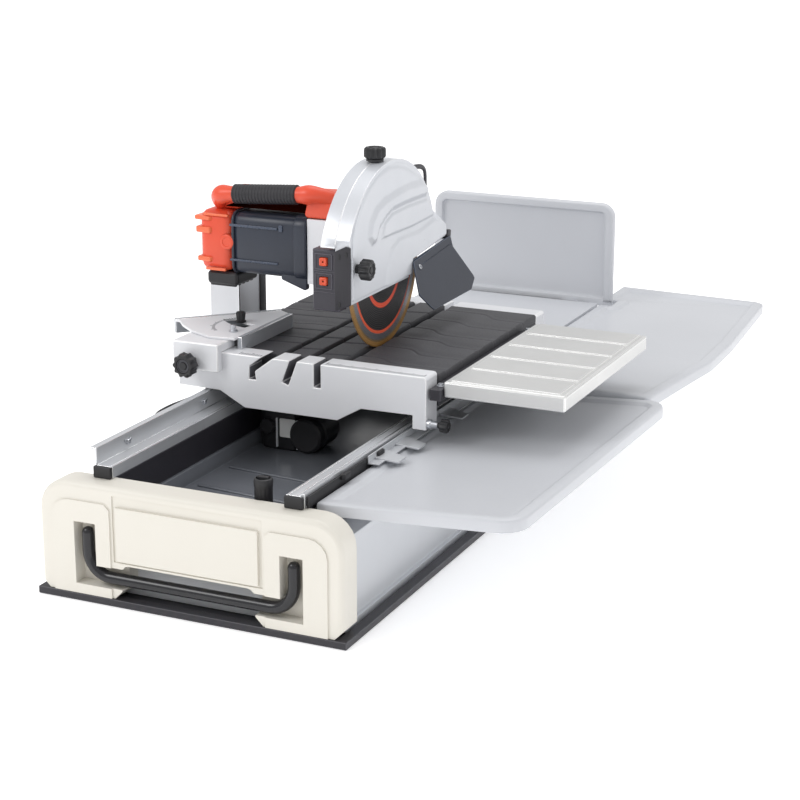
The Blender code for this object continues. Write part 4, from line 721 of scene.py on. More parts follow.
# The walls of the slots are painted a flat, dull grey: painted shade in the recesses.
slot_wall_painted_shade = finish("slot_wall_painted_shade_grey", ("#6A6A70", "#7B7B80"), 0.6, 0.003, 0.0001)
middles, facing = face_fields(casting)
# The slots' upright walls take the grey, as painted shade.
shaded_slot_walls = (middles[:, 0] > -0.105) & (middles[:, 0] < 0.031) & (middles[:, 1] < 0.4)
shaded_slot_walls &= (middles[:, 2] > 0.2425) & (middles[:, 2] < 0.2800) & (abs(facing[:, 1]) < 0.3)
casting.data.materials.append(slot_wall_painted_shade)
casting.data.polygons.foreach_set("material_index", np.where(shaded_slot_walls, 2, 0).astype(np.int32))
refined("rear_casting", "silver_paint", silver_paint, 0.0016, 3, silver_edge_highlight)
# The bed under the mats, seen down the grooves between them, is painted dark grey as shade, dull and a
# little rough.
bed_painted_shade = finish("table_bed_painted_shade_grey", ("#37383C", "#434449"), 0.55, 0.003, 0.00015)
refined("table_bed", "silver_paint", bed_painted_shade, 0.0012, 2)


def ticks(name, starts, ends, width, top, material, body, slot):
    """Engraved lines as one mesh: each is a thin flat prism from its start to its end, with its
    sides half the width away and its top at the given height."""
    a, b = np.array(starts, float), np.array(ends, float)
    run = (b - a) / np.linalg.norm(b - a, axis=1, keepdims=True)
    off = np.stack([-run[:, 1], run[:, 0]], axis=1) * width / 2
    flat = np.stack([a - off, b - off, b + off, a + off], axis=1)
    low = np.concatenate([flat, np.full((*flat.shape[:2], 1), top - 0.0006)], axis=2)
    high = np.concatenate([flat, np.full((*flat.shape[:2], 1), top)], axis=2)
    points = np.concatenate([low, high], axis=1)
    sides = np.array([(0, 3, 2, 1), (4, 5, 6, 7), (0, 1, 5, 4), (1, 2, 6, 5), (2, 3, 7, 6), (3, 0, 4, 7)])
    faces = (sides[None] + 8 * np.arange(len(points))[:, None, None]).reshape(-1, 4).tolist()
    return placed(new_mesh(name, points, faces, material), body, slot)


# Rule lines: filled with grey paint, 1.3 mm wide so they show; every fifth is longer.
rule_paint = finish("grey_rule_paint", ("#5E6066", "#6E7076"), 0.6, 0.003, 0.00002)
rule_x = np.concatenate([np.arange(-0.112, -0.0745, 0.004), np.arange(0.036, 0.198, 0.004)])
rule_length = np.where(np.arange(len(rule_x)) % 5 == 0, 0.0115, 0.0075)
rule_start = np.stack([rule_x, np.full_like(rule_x, 0.3620)], axis=1)
rule_end = np.stack([rule_x, 0.3620 + rule_length], axis=1)
ticks("front_rule", rule_start, rule_end, 0.0013, 0.2812, rule_paint, "table", "silver_paint")


# ---------------------------------------------------------------- table mats
# Four moulded rubber mats are pressed into the bed on either side of the cutting grooves. Cross
# seams and shallow waves in their tops drain the water and grip the tile.
# Moulded rubber: dark grey, matt, dusty with dried slurry; the dust lies in 40 mm patches.
mat_rubber = finish("moulded_mat_rubber", ("#38383C", "#48484C"), 0.55, 0.003, 0.00015, drift=0.04,
                    vary=0.12)


def mat(node, seams, waves):
    """A mat as a height over its own rectangle: flat, falling by a quarter circle at the edges,
    less a narrow notch along each seam y = a + b x, and each wave y = a + b tanh((x - c) / d)."""
    low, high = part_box(node)
    columns = max(int((high.x - low.x) / 0.0018), 14)
    rows = int((high.y - low.y) / 0.0014)
    x, y = np.meshgrid(np.linspace(low.x, high.x, columns), np.linspace(low.y, high.y, rows))
    to_edge = np.minimum(np.minimum(x - low.x, high.x - x), np.minimum(y - low.y, high.y - y))
    fall = np.clip(1 - to_edge / 0.003, 0, 1)
    z = high.z - 0.003 * (1 - np.sqrt(np.clip(1 - fall**2, 0, 1)))
    for a, b, depth in seams:
        z = z - depth * np.exp(-(((y - a - b * (x - low.x)) / 0.0021) ** 2))
    for a, b, c, d in waves:
        off = y - a - b * np.tanh((x - c) / d)
        z = z - 0.0018 * np.exp(-((off / 0.0028) ** 2)) - 0.0012 * np.exp(-(((off - 0.010) / 0.012) ** 2))
    z = np.minimum(z, high.z)
    top = np.stack([x, y, z], axis=-1)
    ring = np.concatenate([top[0], top[1:, -1], top[-1, -2::-1], top[-2:0:-1, 0]])
    foot = ring * (1, 1, 0) + (0, 0, low.z)
    points = np.concatenate([top.reshape(-1, 3), ring, foot])
    count, first = len(ring), rows * columns
    index = np.arange(count)
    wall = np.stack([first + index, first + (index + 1) % count,
                     first + count + (index + 1) % count, first + count + index], axis=1)
    faces = grid_faces(rows, columns, False, False) + wall.tolist()
    faces.append((first + count + index[::-1]).tolist())
    return placed(new_mesh(f"{node}_rubber", points, faces, mat_rubber, 40), "table", "mat_rubber", node)


mat("mat_1", [(0.462, 0.10, 0.0022), (0.548, 0.10, 0.0022), (0.634, 0.10, 0.0022), (0.720, 0.10, 0.0022)],
    [(0.505, 0.006, -0.12, 0.02), (0.592, 0.006, -0.12, 0.02), (0.680, 0.006, -0.12, 0.02)])
mat("mat_2", [(0.447, 0.25, 0.0024), (0.522, 0.25, 0.0024), (0.597, 0.25, 0.0024), (0.672, 0.25, 0.0024),
              (0.747, 0.25, 0.0024)], [])
mat("mat_3", [(0.432, 0.2, 0.0024), (0.507, 0.2, 0.0024), (0.582, 0.2, 0.0024), (0.657, 0.2, 0.0024),
              (0.732, 0.2, 0.0024)], [])
mat("mat_4", [],
    [(0.440 + 0.064 * i, -0.014 if i % 2 else -0.011, 0.100 + 0.02 * (i % 3), 0.012) for i in range(6)])


# ---------------------------------------------------------------- extension wing
# A pressed-aluminium side table for wide tiles, with five drainage ribs and a rolled rim. It
# hooks over a rail on the table's right side and is left as bright, brushed metal.
# Brushed aluminium: pale and silky, with strokes along X drawn 1.8 mm apart, so they show.
brushed_alu = finish("brushed_aluminium_sheet", ("#D2D2D1", "#DFDFDE"), 0.36, 0.0018, 0.00006, 0.7,
                     run=(0.03, 1, 1), vary=0.08)
# The folded edges are burnished, and painted pale as a highlight.
brushed_edge_highlight = finish("brushed_aluminium_edge_painted_highlight", ("#EFEFEE", "#F8F8F7"), 0.22, 0.002, 0.00003, 0.6)
refined("extension_wing", "aluminium", brushed_alu, 0.0018, 3, brushed_edge_highlight)
refined("wing_rail", "aluminium", powder_black, 0.001, 2, powder_edge_highlight)
wing_low, wing_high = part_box("extension_wing")
for i, lug_y in enumerate((wing_low.y + 0.012, wing_high.y - 0.012)):
    cap_screw(f"wing_hook_screw_{i}", (0.2145, lug_y, 0.2645), (0, 0, 1), 0.0042, 0.0035, "table")


# ---------------------------------------------------------------- rollers and table lock
# Four flanged nylon rollers carry the table on the tracks. A small thumb knob on the right clamps
# the table to the track when the saw is carried.
# Turned acetal: waxy off-white with a low sheen.
roller_nylon = finish("turned_acetal_white", ("#D9D9D6", "#E6E6E3"), 0.35, 0.002, 0.00003)
roller_profile = [(-0.006, 0.0, 0), (-0.006, 0.0042, 0), (-0.0052, 0.0112, 0), (-0.0045, 0.0118, 0),
                  (-0.004, 0.012, 0), (0.004, 0.012, 0), (0.0045, 0.0118, 0), (0.0052, 0.0112, 0),
                  (0.006, 0.0042, 0), (0.006, 0.0, 0)]
for node, body in (("roller_front_left", "roller_fl"), ("roller_front_right", "roller_fr"),
                   ("roller_rear_left", "roller_rl"), ("roller_rear_right", "roller_rr")):
    low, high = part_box(node)
    turned_piece(f"{node}_wheel", (low + high) / 2, (1, 0, 0), roller_profile, roller_nylon, body,
                 "black_plastic", (node,), 48)


# Bare steel insert in a knob's face, blackened, with a dull oily gloss.
blackened_insert = finish("blackened_steel_insert", ("#3C3C40", "#4A4A4E"), 0.32, 0.003, 0.00004, 0.6)


def fluted_knob(node, base, axis, stem, stem_radius, radius, height, lobes, body, cap=True):
    """A hand knob: stem, collar, fluted rim with soft shoulders, and a ring sunk in its face."""
    rim, end = stem, stem + height
    profile = [
        (0.0, 0.0, 0), (0.0, stem_radius, 0), (rim, stem_radius, 0), (rim + 0.0004, radius * 0.72, 0),
        (rim + height * 0.10, radius * 0.90, 0.4), (rim + height * 0.20, radius, 1),
        (end - height * 0.22, radius, 1),
        (end - height * 0.08, radius * 0.95, 0.9), (end - height * 0.01, radius * 0.84, 0.6),
        (end, radius * 0.72, 0), (end, radius * 0.60, 0), (end - height * 0.10, radius * 0.56, 0),
        (end - height * 0.10, radius * 0.34, 0),
        (end - height * 0.02, radius * 0.30, 0), (end - height * 0.02, 0.0, 0),
    ]
    piece = turned_piece(f"{node}_fluted", base, axis, profile, black_nylon, body, "black_plastic",
                         (node,), lobes * 8, lobes, 0.17)
    if cap:
        ring = [(end - height * 0.101, 0.0, 0), (end - height * 0.101, radius * 0.555, 0),
                (end - height * 0.05, radius * 0.545, 0),
                (end - height * 0.05, radius * 0.47, 0), (end - height * 0.098, radius * 0.45, 0),
                (end - height * 0.098, 0.0, 0)]
        turned_piece(f"{node}_face_ring", base, axis, ring, blackened_insert, body, "steel", (), 40)
    return piece


fluted_knob("table_lock", (0.2023, 0.366, 0.2085), (1, 0, 0), 0.020, 0.0042, 0.0105, 0.013, 8, "lock_knob",
            False)
turned_piece("table_lock_ferrule", (0.2026, 0.366, 0.2085), (1, 0, 0), [
    (0.0, 0.0, 0), (0.0, 0.0075, 0), (0.004, 0.0078, 0), (0.006, 0.006, 0), (0.016, 0.0055, 0),
    (0.0165, 0.0, 0),
], zinc_plate, "lock_knob", "steel", (), 32)


# ---------------------------------------------------------------- fence and miter guide
# The guide is a cast block clamped over the front casting, a flat sector with an arc slot and an
# angle scale, and two extruded bars: one along the cut and one across the sector's corner.
refined("guide_block", "silver_paint", silver_paint, 0.0024, 3, silver_edge_highlight)
refined("sector_plate", "silver_paint", silver_paint, 0.0009, 2, silver_edge_highlight)
# Satin anodising: a flat blue-grey sheen that hides the die lines.
anodised_alu = finish("satin_anodised_aluminium", ("#A3A7AD", "#AFB3B8"), 0.45, 0.003, 0.00001, 0.35)
refined("fence_bar", "aluminium", anodised_alu, 0.0009, 2, alu_edge_highlight)
refined("miter_bar", "aluminium", anodised_alu, 0.0009, 2, alu_edge_highlight)
scale_turn = np.radians(np.arange(142, 232, 4.0))
spoke = np.stack([np.cos(scale_turn), np.sin(scale_turn)], axis=1)
scale_length = np.where(np.arange(len(spoke)) % 5 == 0, 0.008, 0.005)[:, None]
scale_centre = np.array((-0.140, 0.455))
ticks("miter_scale", scale_centre + spoke * 0.058, scale_centre + spoke * (0.058 + scale_length), 0.0009,
      0.3003, rule_paint, "guide", "silver_paint")
fluted_knob("guide_knob", (-0.186, 0.3427, 0.2635), (0, -1, 0), 0.007, 0.006, 0.0195, 0.019, 10,
            "guide_knob_body")
lock_profile = [
    (0.0, 0.0, 0), (0.0, 0.0085, 0), (0.0025, 0.0085, 0), (0.003, 0.0066, 0), (0.005, 0.0070, 1),
    (0.013, 0.0080, 1), (0.0160, 0.0078, 1), (0.0170, 0.0060, 0), (0.0170, 0.0, 0),
]
turned_piece("miter_lock_thumb", (-0.168, 0.470, 0.3003), (0, 0, 1), lock_profile, black_nylon,
             "miter_lock_body", "black_plastic", ("miter_lock",), 48, 8, 0.14)
turned_piece("miter_pivot_post", (-0.150, 0.4130, 0.2999), (0, 0, 1), [
    (0.0, 0.0, 0), (0.0, 0.0070, 0), (0.002, 0.0072, 0), (0.003, 0.0050, 1), (0.010, 0.0054, 1),
    (0.0112, 0.0045, 0), (0.0112, 0.0, 0),
], zinc_plate, "guide", "steel", (), 48, 6, 0.1)


# ---------------------------------------------------------------- bevel yoke and head arm
# A cast shoe rides in the curved track and carries two ears for the plunge pin; the arm from the
# gear case swings on that pin. A fluted knob locks the tilt.
refined("bevel_yoke", "silver_paint", silver_paint, 0.0012, 2, silver_edge_highlight)
refined("plunge_pin", "steel", zinc_plate, 0.0005, 2)
refined("head_arm", "silver_paint", silver_paint, 0.002, 3, silver_edge_highlight)
fluted_knob("bevel_lock", (-0.093, 0.7747, 0.322), (0, -1, 0), 0.006, 0.006, 0.016, 0.018, 10,
            "bevel_lock_body")


# ---------------------------------------------------------------- gear case and motor
# The motor is a long nylon housing with a louvred red end cap and a round brush cap; it bolts to
# the painted gear case. Grooves and raised lines stiffen its sides.
# Motor nylon: blue-black, satin, moulded with a fine spark-eroded texture drawn at 2.5 mm.
motor_nylon = finish("moulded_nylon_blue_black", ("#262B37", "#303644"), 0.36, 0.0025, 0.00008)
# Its ribs and ledges are shinier, and painted lighter and a little bluer as highlights.
motor_rib_highlight = finish("moulded_nylon_blue_black_painted_highlight", ("#3A4252", "#465063"), 0.28, 0.0025, 0.00005)
# Red ABS: orange-red and satin; its edges, fins and ribs are painted more orange as highlights.
red_abs = finish("moulded_abs_orange_red", ("#E04A30", "#E85A3A"), 0.36, 0.003, 0.00007)
red_edge_highlight = finish("moulded_abs_orange_painted_highlight", ("#EE6C45", "#F27A50"), 0.3, 0.003, 0.00005)
refined("gear_case", "silver_paint", silver_paint, 0.0035, 4, silver_edge_highlight)
refined("motor_body", "motor_plastic", motor_nylon, 0.0015, 3, motor_rib_highlight)
refined("motor_end_cap", "red_plastic", red_abs, 0.003, 3, red_edge_highlight)
refined("inlet_box", "black_plastic", black_nylon, 0.003, 3)


def bar_outline_xz(x0, x1, z0, z1, radius):
    """A rounded rectangle standing in the XZ plane."""
    return outline_round(rectangle(x0, x1, z0, z1), radius, 5)


# Ledges on the motor's side, in the lighter finish: painted highlights.
for name, spread, height in (
    ("upper_ledge", (-0.1935, -0.1080), (0.4500, 0.4545)),
    ("lower_ledge", (-0.1935, -0.1080), (0.3945, 0.3985)),
    ("ledge_stop", (-0.1060, -0.0990), (0.4480, 0.4590)),
):
    plate(f"motor_{name}", bar_outline_xz(*spread, *height, 0.0015), 0.4838, 0.4880, 0.0012, "XZ",
          motor_rib_highlight, "head", "motor_plastic")
for name, spread, depth in (("collar", (-0.0800, -0.0590), 0.003), ("band", (-0.1910, -0.1860), 0.0015)):
    low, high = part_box("motor_body")
    ring = outline_round(rectangle(low.y - depth, high.y + depth, low.z - depth, high.z + depth),
                         0.0155 + depth, 6)
    plate(f"motor_{name}", ring, *spread, 0.002, "YZ", motor_nylon, "head", "motor_plastic")
foot = outline_round([(-0.1060, 0.3720), (-0.0600, 0.3560), (-0.0600, 0.3900), (-0.1000, 0.3900)], 0.004, 5)
plate("motor_foot_web", foot, 0.489, 0.500, 0.002, "XZ", motor_nylon, "head", "motor_plastic")
# Louvres: three thick fins round the end cap's outer end, and two bars across its face.
# The fins and the bars are in the more orange finish: painted highlights.
for i, (fin_z, half) in enumerate(((0.4590, 0.0035), (0.4400, 0.0050), (0.3930, 0.0040))):
    fin = outline_round([(-0.2585 + 0.002 * i, 0.4870), (-0.2300, 0.4840), (-0.2240, 0.4925),
                         (-0.2480, 0.5960), (-0.2560, 0.5960)], 0.0030, 5)
    plate(f"end_cap_fin_{i}", fin, fin_z - half, fin_z + half, 0.0022, "XY", red_edge_highlight, "head",
          "red_plastic")
for name, spread, height in (("face_rib", (-0.2400, -0.1960), (0.4640, 0.4680)),
                             ("skirt_rib", (-0.2380, -0.2020), (0.3760, 0.3805))):
    plate(f"end_cap_{name}", bar_outline_xz(*spread, *height, 0.0015), 0.4840, 0.4885, 0.0012, "XZ",
          red_edge_highlight, "head", "red_plastic")
brush_profile = [
    (0.0, 0.0, 0), (0.0, 0.0125, 0), (0.0012, 0.0125, 0), (0.0035, 0.0118, 0), (0.0044, 0.0100, 0),
    (0.0044, 0.0075, 0), (0.0036, 0.0070, 0), (0.0036, 0.0, 0),
]
turned_piece("brush_cap_disc", (-0.199, 0.4877, 0.424), (0, -1, 0), brush_profile, red_abs, "head",
             "red_plastic", ("brush_cap",), 48)
for i, slot_y in enumerate(np.linspace(0.498, 0.550, 5)):
    vent = outline_round(rectangle(-0.2360, -0.1900, slot_y - 0.0035, slot_y + 0.0035), 0.002, 4)
    plate(f"inlet_box_rib_{i}", vent, 0.3495, 0.3535, 0.001, "XY", black_nylon, "head", "black_plastic")
for i, (bolt_y, bolt_z) in enumerate(((0.500, 0.459), (0.585, 0.459), (0.500, 0.383), (0.585, 0.383))):
    cap_screw(f"gear_case_screw_{i}", (-0.0577, bolt_y, bolt_z), (-1, 0, 0), 0.0036, 0.0030, "head")


# ---------------------------------------------------------------- top handle and grip
# A red handle bows over the motor from the end cap to the gear case. A soft black rubber sleeve
# with narrow ribs is pushed over its straight part.
handle_stops = [
    (-0.2140, 0.534, 0.460), (-0.2145, 0.532, 0.468), (-0.2240, 0.516, 0.481), (-0.2140, 0.493, 0.4955),
    (-0.1920, 0.484, 0.502),
    (-0.1300, 0.484, 0.506), (-0.0660, 0.484, 0.510), (-0.0340, 0.490, 0.510), (-0.0140, 0.503, 0.501),
    (-0.0030, 0.518, 0.484), (-0.0010, 0.524, 0.462),
]
top_line = smooth_line(handle_stops, 9)
along_x = top_line[:, 0]
swell = 0.0118 + 0.0032 * np.exp(-(((along_x + 0.205) / 0.012) ** 2))
swell += 0.0035 * np.exp(-(((along_x + 0.052) / 0.014) ** 2))
top_rings = swept(top_line, swell, 28, (0, 0.35, -0.94))
top_rings[..., 2] = np.maximum(top_rings[..., 2], 0.4690)
ring_piece("top_handle_bow", top_rings, red_abs, "head", "red_plastic", ("top_handle",), crease=50)
# A moulded web behind the bow joins the end cap, the motor's top and the gear case.
web = outline_round([
    (-0.2150, 0.4735), (-0.1900, 0.4735), (-0.1740, 0.4900), (-0.0760, 0.4920), (-0.0620, 0.4735),
    (-0.0030, 0.4735), (-0.0030, 0.5020), (-0.0300, 0.5120), (-0.2000, 0.5080), (-0.2180, 0.4980),
], (0.003, 0.006, 0.012, 0.012, 0.006, 0.003, 0.010, 0.020, 0.018, 0.010), 6)
plate("top_handle_web", web, 0.5080, 0.5460, 0.004, "XZ", red_abs, "head", "red_plastic")
root = outline_round([(-0.0640, 0.4735), (-0.0050, 0.4735), (-0.0050, 0.4960), (-0.0300, 0.5080),
                      (-0.0560, 0.5060)], 0.006, 6)
plate("top_handle_root", root, 0.4880, 0.5300, 0.004, "XZ", red_abs, "head", "red_plastic")
grip_along = np.linspace(0, 1, 121)[:, None]
grip_start, grip_end = np.array((-0.182, 0.484, 0.5026)), np.array((-0.070, 0.484, 0.5098))
grip_line = grip_start * (1 - grip_along) + grip_end * grip_along
ribs = 0.0155 - 0.0008 * (np.cos(grip_along[:, 0] * 2 * np.pi * 20) > 0.4)
fade = np.clip(np.minimum(grip_along[:, 0], 1 - grip_along[:, 0]) / 0.02, 0, 1)
grip_rings = swept(grip_line, ribs - 0.0022 * (1 - fade) ** 2, 36)
# Sleeve rubber: black and matt, and greyer where hands have polished its ribs.
grip_rubber = finish("moulded_sleeve_rubber", ("#242327", "#313034"), 0.58, 0.003, 0.0001)
ring_piece("handle_grip_sleeve", grip_rings, grip_rubber, "head", "black_rubber", ("handle_grip",),
           crease=40)


# ---------------------------------------------------------------- switch box and buttons
# A tall black box on the neck of the gear case carries a start and a stop button in raised
# frames. A bent steel bracket with slotted holes holds it to the guard.
# Switch ABS: charcoal with a purple cast, satin, with spark texture drawn at 2.5 mm.
switch_abs = finish("moulded_switch_abs_charcoal", ("#36343C", "#403E46"), 0.42, 0.0025, 0.0001)
# The box's corners, button frames and lines are painted greyer as highlights.
switch_edge_highlight = finish("moulded_switch_abs_painted_highlight", ("#4B4952", "#58565F"), 0.34, 0.0025, 0.00005)
refined("switch_box", "switch_plastic", switch_abs, 0.0018, 3, switch_edge_highlight)


def frame_ring(name, x0, x1, z0, z1, wall, front, depth, material, body, slot):
    """A raised picture-frame moulding: an outer rounded rectangle down to an inner one, closed on
    itself, so its profile is a loop carried round the outline."""
    profile = [(0.0, front + depth), (0.0, front + 0.0005), (0.0005, front), (wall - 0.0005, front),
               (wall, front + 0.0005), (wall, front + depth), (0.0, front + depth)]
    rings = inset_rings(bar_outline_xz(x0, x1, z0, z1, 0.0025), profile, "XZ")
    faces = grid_faces(*rings.shape[:2], capped=False)
    return placed(new_mesh(name, rings, faces, material), body, slot)


# Push buttons: glossy orange-red with a dished top.
button_abs = finish("polished_button_abs", ("#E4502F", "#EA5C39"), 0.24, 0.002, 0.00003)
for node, body, button_z in (("start_button", "start", 0.427), ("stop_button", "stop", 0.397)):
    frame_ring(f"{node}_frame", -0.0040, 0.0260, button_z - 0.0128, button_z + 0.0128, 0.0022, 0.4068,
               0.0022, switch_edge_highlight, "head", "switch_plastic")
    low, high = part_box(node)
    outline = bar_outline_xz(low.x, high.x, low.z, high.z, 0.0022)
    profile = [(0.0, high.y), (0.0, low.y + 0.0014), (0.0004, low.y + 0.0005), (0.0012, low.y),
               (0.0022, low.y), (0.0036, low.y + 0.0008), (0.0050, low.y + 0.0010)]
    rings = inset_rings(outline, profile, "XZ")
    ring_piece(f"{node}_cap", rings, button_abs, body, "red_plastic", (node,), crease=50)
for i, line_z in enumerate((0.3800, 0.4122, 0.4435)):
    plate(f"switch_box_line_{i}",
          bar_outline_xz(-0.0050, 0.0300, line_z - 0.0006, line_z + 0.0006, 0.0005), 0.4072,
          0.4086, 0.0004, "XZ", switch_edge_highlight, "head", "switch_plastic")
bracket = outline_round([(0.0382, 0.3570), (0.0645, 0.3680), (0.0645, 0.4560), (0.0560, 0.4570),
                         (0.0382, 0.4480)], 0.002)
plate("switch_bracket", bracket, 0.3896, 0.3924, 0.0006, "XZ", powder_black, "head", "black_steel")
for i, (hole_x, hole_z) in enumerate(((0.046, 0.441), (0.058, 0.445), (0.046, 0.368))):
    slot_outline = outline_round(rectangle(hole_x - 0.0020, hole_x + 0.0020, hole_z - 0.0042,
                                           hole_z + 0.0042), 0.0019)
    plate(f"switch_bracket_slot_{i}", slot_outline, 0.3890, 0.3898, 0.0003, "XZ", black_nylon, "head",
          "black_steel")


# ---------------------------------------------------------------- blade guard
# A pressed and painted steel guard: a rounded crown over the blade and a flat outer cheek, with
# pressed swages that stiffen it, a blank name field and a nose over the splash flap.
# Silver enamel on pressed steel: cool grey, smooth, and glossier than the castings.
guard_paint = finish("silver_painted_pressing", ("#CDD0D6", "#D8DADF"), 0.30, 0.004, 0.00005, 0.25)
# The seam and the edges are burnished, and painted nearly white as highlights.
guard_edge_highlight = finish("silver_pressing_painted_highlight", ("#EDEEF0", "#F5F5F6"), 0.24, 0.003, 0.00004, 0.35)
refined("blade_guard", "silver_paint", guard_paint, 0.0030, 4, guard_edge_highlight, 34, 0.3)


def depth_inside(y, z, outline):
    """How far each point lies inside a closed outline, and minus how far outside: the least
    distance to its sides, with the sign from how often a level ray crosses them."""
    a = np.array(outline, float)
    b = np.roll(a, -1, 0)
    p = np.stack([y, z], axis=-1)[..., None, :]
    side = b - a
    t = np.clip(((p - a) * side).sum(-1) / (side**2).sum(-1), 0, 1)
    away = np.linalg.norm(p - a - t[..., None] * side, axis=-1).min(-1)
    crosses = (a[:, 1] > p[..., 1]) != (b[:, 1] > p[..., 1])
    cut = a[:, 0] + (p[..., 1] - a[:, 1]) * side[:, 0] / np.where(side[:, 1] == 0, 1e-9, side[:, 1])
    inside = (crosses & (p[..., 0] < cut)).sum(-1) % 2 == 1
    return np.where(inside, away, -away)


def swage(y, z, outline, height, slope):
    """A raised field: its height times a smooth step across the outline, slope wide."""
    t = np.clip(depth_inside(y, z, np.array(outline) / 1000) / slope * 0.5 + 0.5, 0, 1)
    return height * t * t * (3 - 2 * t)


# The cheek and the seam are arcs about the blade's spindle.
spindle_x, spindle_y, spindle_z = 0.046, 0.546, 0.396
cheek_radius, seam_radius = 0.163, 0.1672
arc = np.radians(np.linspace(187.0, 18.0, 60))
cheek_arc = np.stack(
    [spindle_y + cheek_radius * np.cos(arc), spindle_z + cheek_radius * np.sin(arc)], axis=1
)
cheek = np.vstack([
    [(0.398, 0.372)], cheek_arc[cheek_arc[:, 0] > 0.398],
    [(0.7520, 0.4225), (0.7530, 0.4110), (0.6150, 0.3960), (0.6100, 0.3720)],
])
cheek_steps = np.linalg.norm(np.roll(cheek, -1, 0) - cheek, axis=1)
walk = np.concatenate([[0], np.cumsum(cheek_steps)])
spots = np.linspace(0, walk[-1], 360, endpoint=False)
closed_cheek = np.vstack([cheek, cheek[:1]])
rim = np.stack([np.interp(spots, walk, closed_cheek[:, i]) for i in (0, 1)], axis=1)
heart = np.array((0.560, 0.432))
share = np.concatenate([[1.0, 0.998, 0.994, 0.987], np.linspace(0.978, 0.0, 70)])[:, None, None]
cheek_yz = heart + (rim - heart) * share
y, z = cheek_yz[..., 0], cheek_yz[..., 1]
rim_line = [(393, 452), (406, 485), (429, 510), (458, 532), (488, 547), (528, 554), (563, 551), (600, 541),
            (660, 515), (701, 470), (752, 430), (752, 400), (610, 360), (380, 360)]
crescent = [(454, 461), (462, 482), (480, 498), (510, 507), (564, 513), (609, 515), (652, 513), (675, 502),
            (666, 491), (591, 492), (537, 490), (510, 481), (490, 470), (479, 451), (466, 449)]
name_field = [(501, 450), (513, 471), (540, 481), (600, 483), (672, 481), (700, 455), (696, 452),
              (615, 449), (546, 450)]
lower_fold = [(516, 362), (522, 395), (528, 409), (537, 427), (564, 437), (638, 435), (699, 444),
              (760, 435), (760, 395), (612, 355)]
outward = 0.0622 + swage(y, z, rim_line, 0.0018, 0.004) + swage(y, z, crescent, 0.0042, 0.006)
outward += swage(y, z, name_field, 0.0018, 0.0025) + swage(y, z, lower_fold, 0.0020, 0.005)
drop = np.clip((1 - share[..., 0]) / 0.013, 0, 1)
outward = 0.0612 + (outward - 0.0612) * np.sqrt(1 - (1 - drop) ** 2)
cheek_rings = np.stack([outward, y, z], axis=-1)
backing = cheek_rings[:1] * (0, 1, 1) + (0.0606, 0, 0)
cheek_rings = np.concatenate([backing, cheek_rings])
ring_piece("blade_guard_cheek", cheek_rings, guard_paint, "head", "silver_paint", crease=60)
mark = outline_round([(0.4835, 0.5020), (0.4855, 0.5040), (0.4842, 0.5120), (0.4815, 0.5125)], 0.0007)
plate("blade_guard_slot", mark, 0.0630, 0.0639, 0.0002, "YZ", black_nylon, "head", "silver_paint")
# The crown's folded seam, a flat hook for the hose behind it, and the depth rod beside it.
seam_turn = np.radians(np.linspace(158, 22, 60))
seam_y = spindle_y + seam_radius * np.cos(seam_turn)
seam_z = spindle_z + seam_radius * np.sin(seam_turn)
seam_line = np.stack([np.full_like(seam_turn, 0.0388), seam_y, seam_z], axis=1)
seam_rings = swept(seam_line, 0.0013, 10, (1, 0, 0))
ring_piece("blade_guard_seam", seam_rings, guard_edge_highlight, "head", "silver_paint")
hook_line = smooth_line([(0.030, 0.656, 0.506), (0.030, 0.664, 0.516), (0.030, 0.676, 0.523),
                         (0.030, 0.690, 0.5275), (0.030, 0.722, 0.5245), (0.030, 0.737, 0.518),
                         (0.030, 0.742, 0.508), (0.030, 0.743, 0.490)], 8)
hook_rings = swept(hook_line, 0.0040, 16, (1, 0, 0), 0.6)
ring_piece("hose_hook", hook_rings, powder_black, "head", "black_steel")
rod_line = np.array([(-0.033, 0.590, 0.4700), (-0.033, 0.590, 0.5000), (-0.033, 0.590, 0.5230)])
rod_rings = swept(rod_line, 0.0016, 12)
ring_piece("depth_rod", rod_rings, zinc_plate, "head", "steel")
fluted_knob("depth_knob", (0.040, 0.528, 0.5640), (0, 0, 1), 0.003, 0.0135, 0.017, 0.018, 12,
            "depth_knob_body", False)
fluted_knob("cover_knob", (0.0623, 0.413, 0.420), (1, 0, 0), 0.0087, 0.007, 0.0165, 0.018, 12,
            "cover_knob_body")


# ---------------------------------------------------------------- blade
# A 254 mm continuous-rim diamond blade: a steel core, printed black with orange rings and fine
# lathe lines, and a bronze-bonded diamond rim. Two turned flanges and a nut hold it.
blade_centre = Vector((spindle_x, spindle_y, spindle_z))
blade_radius = 0.127


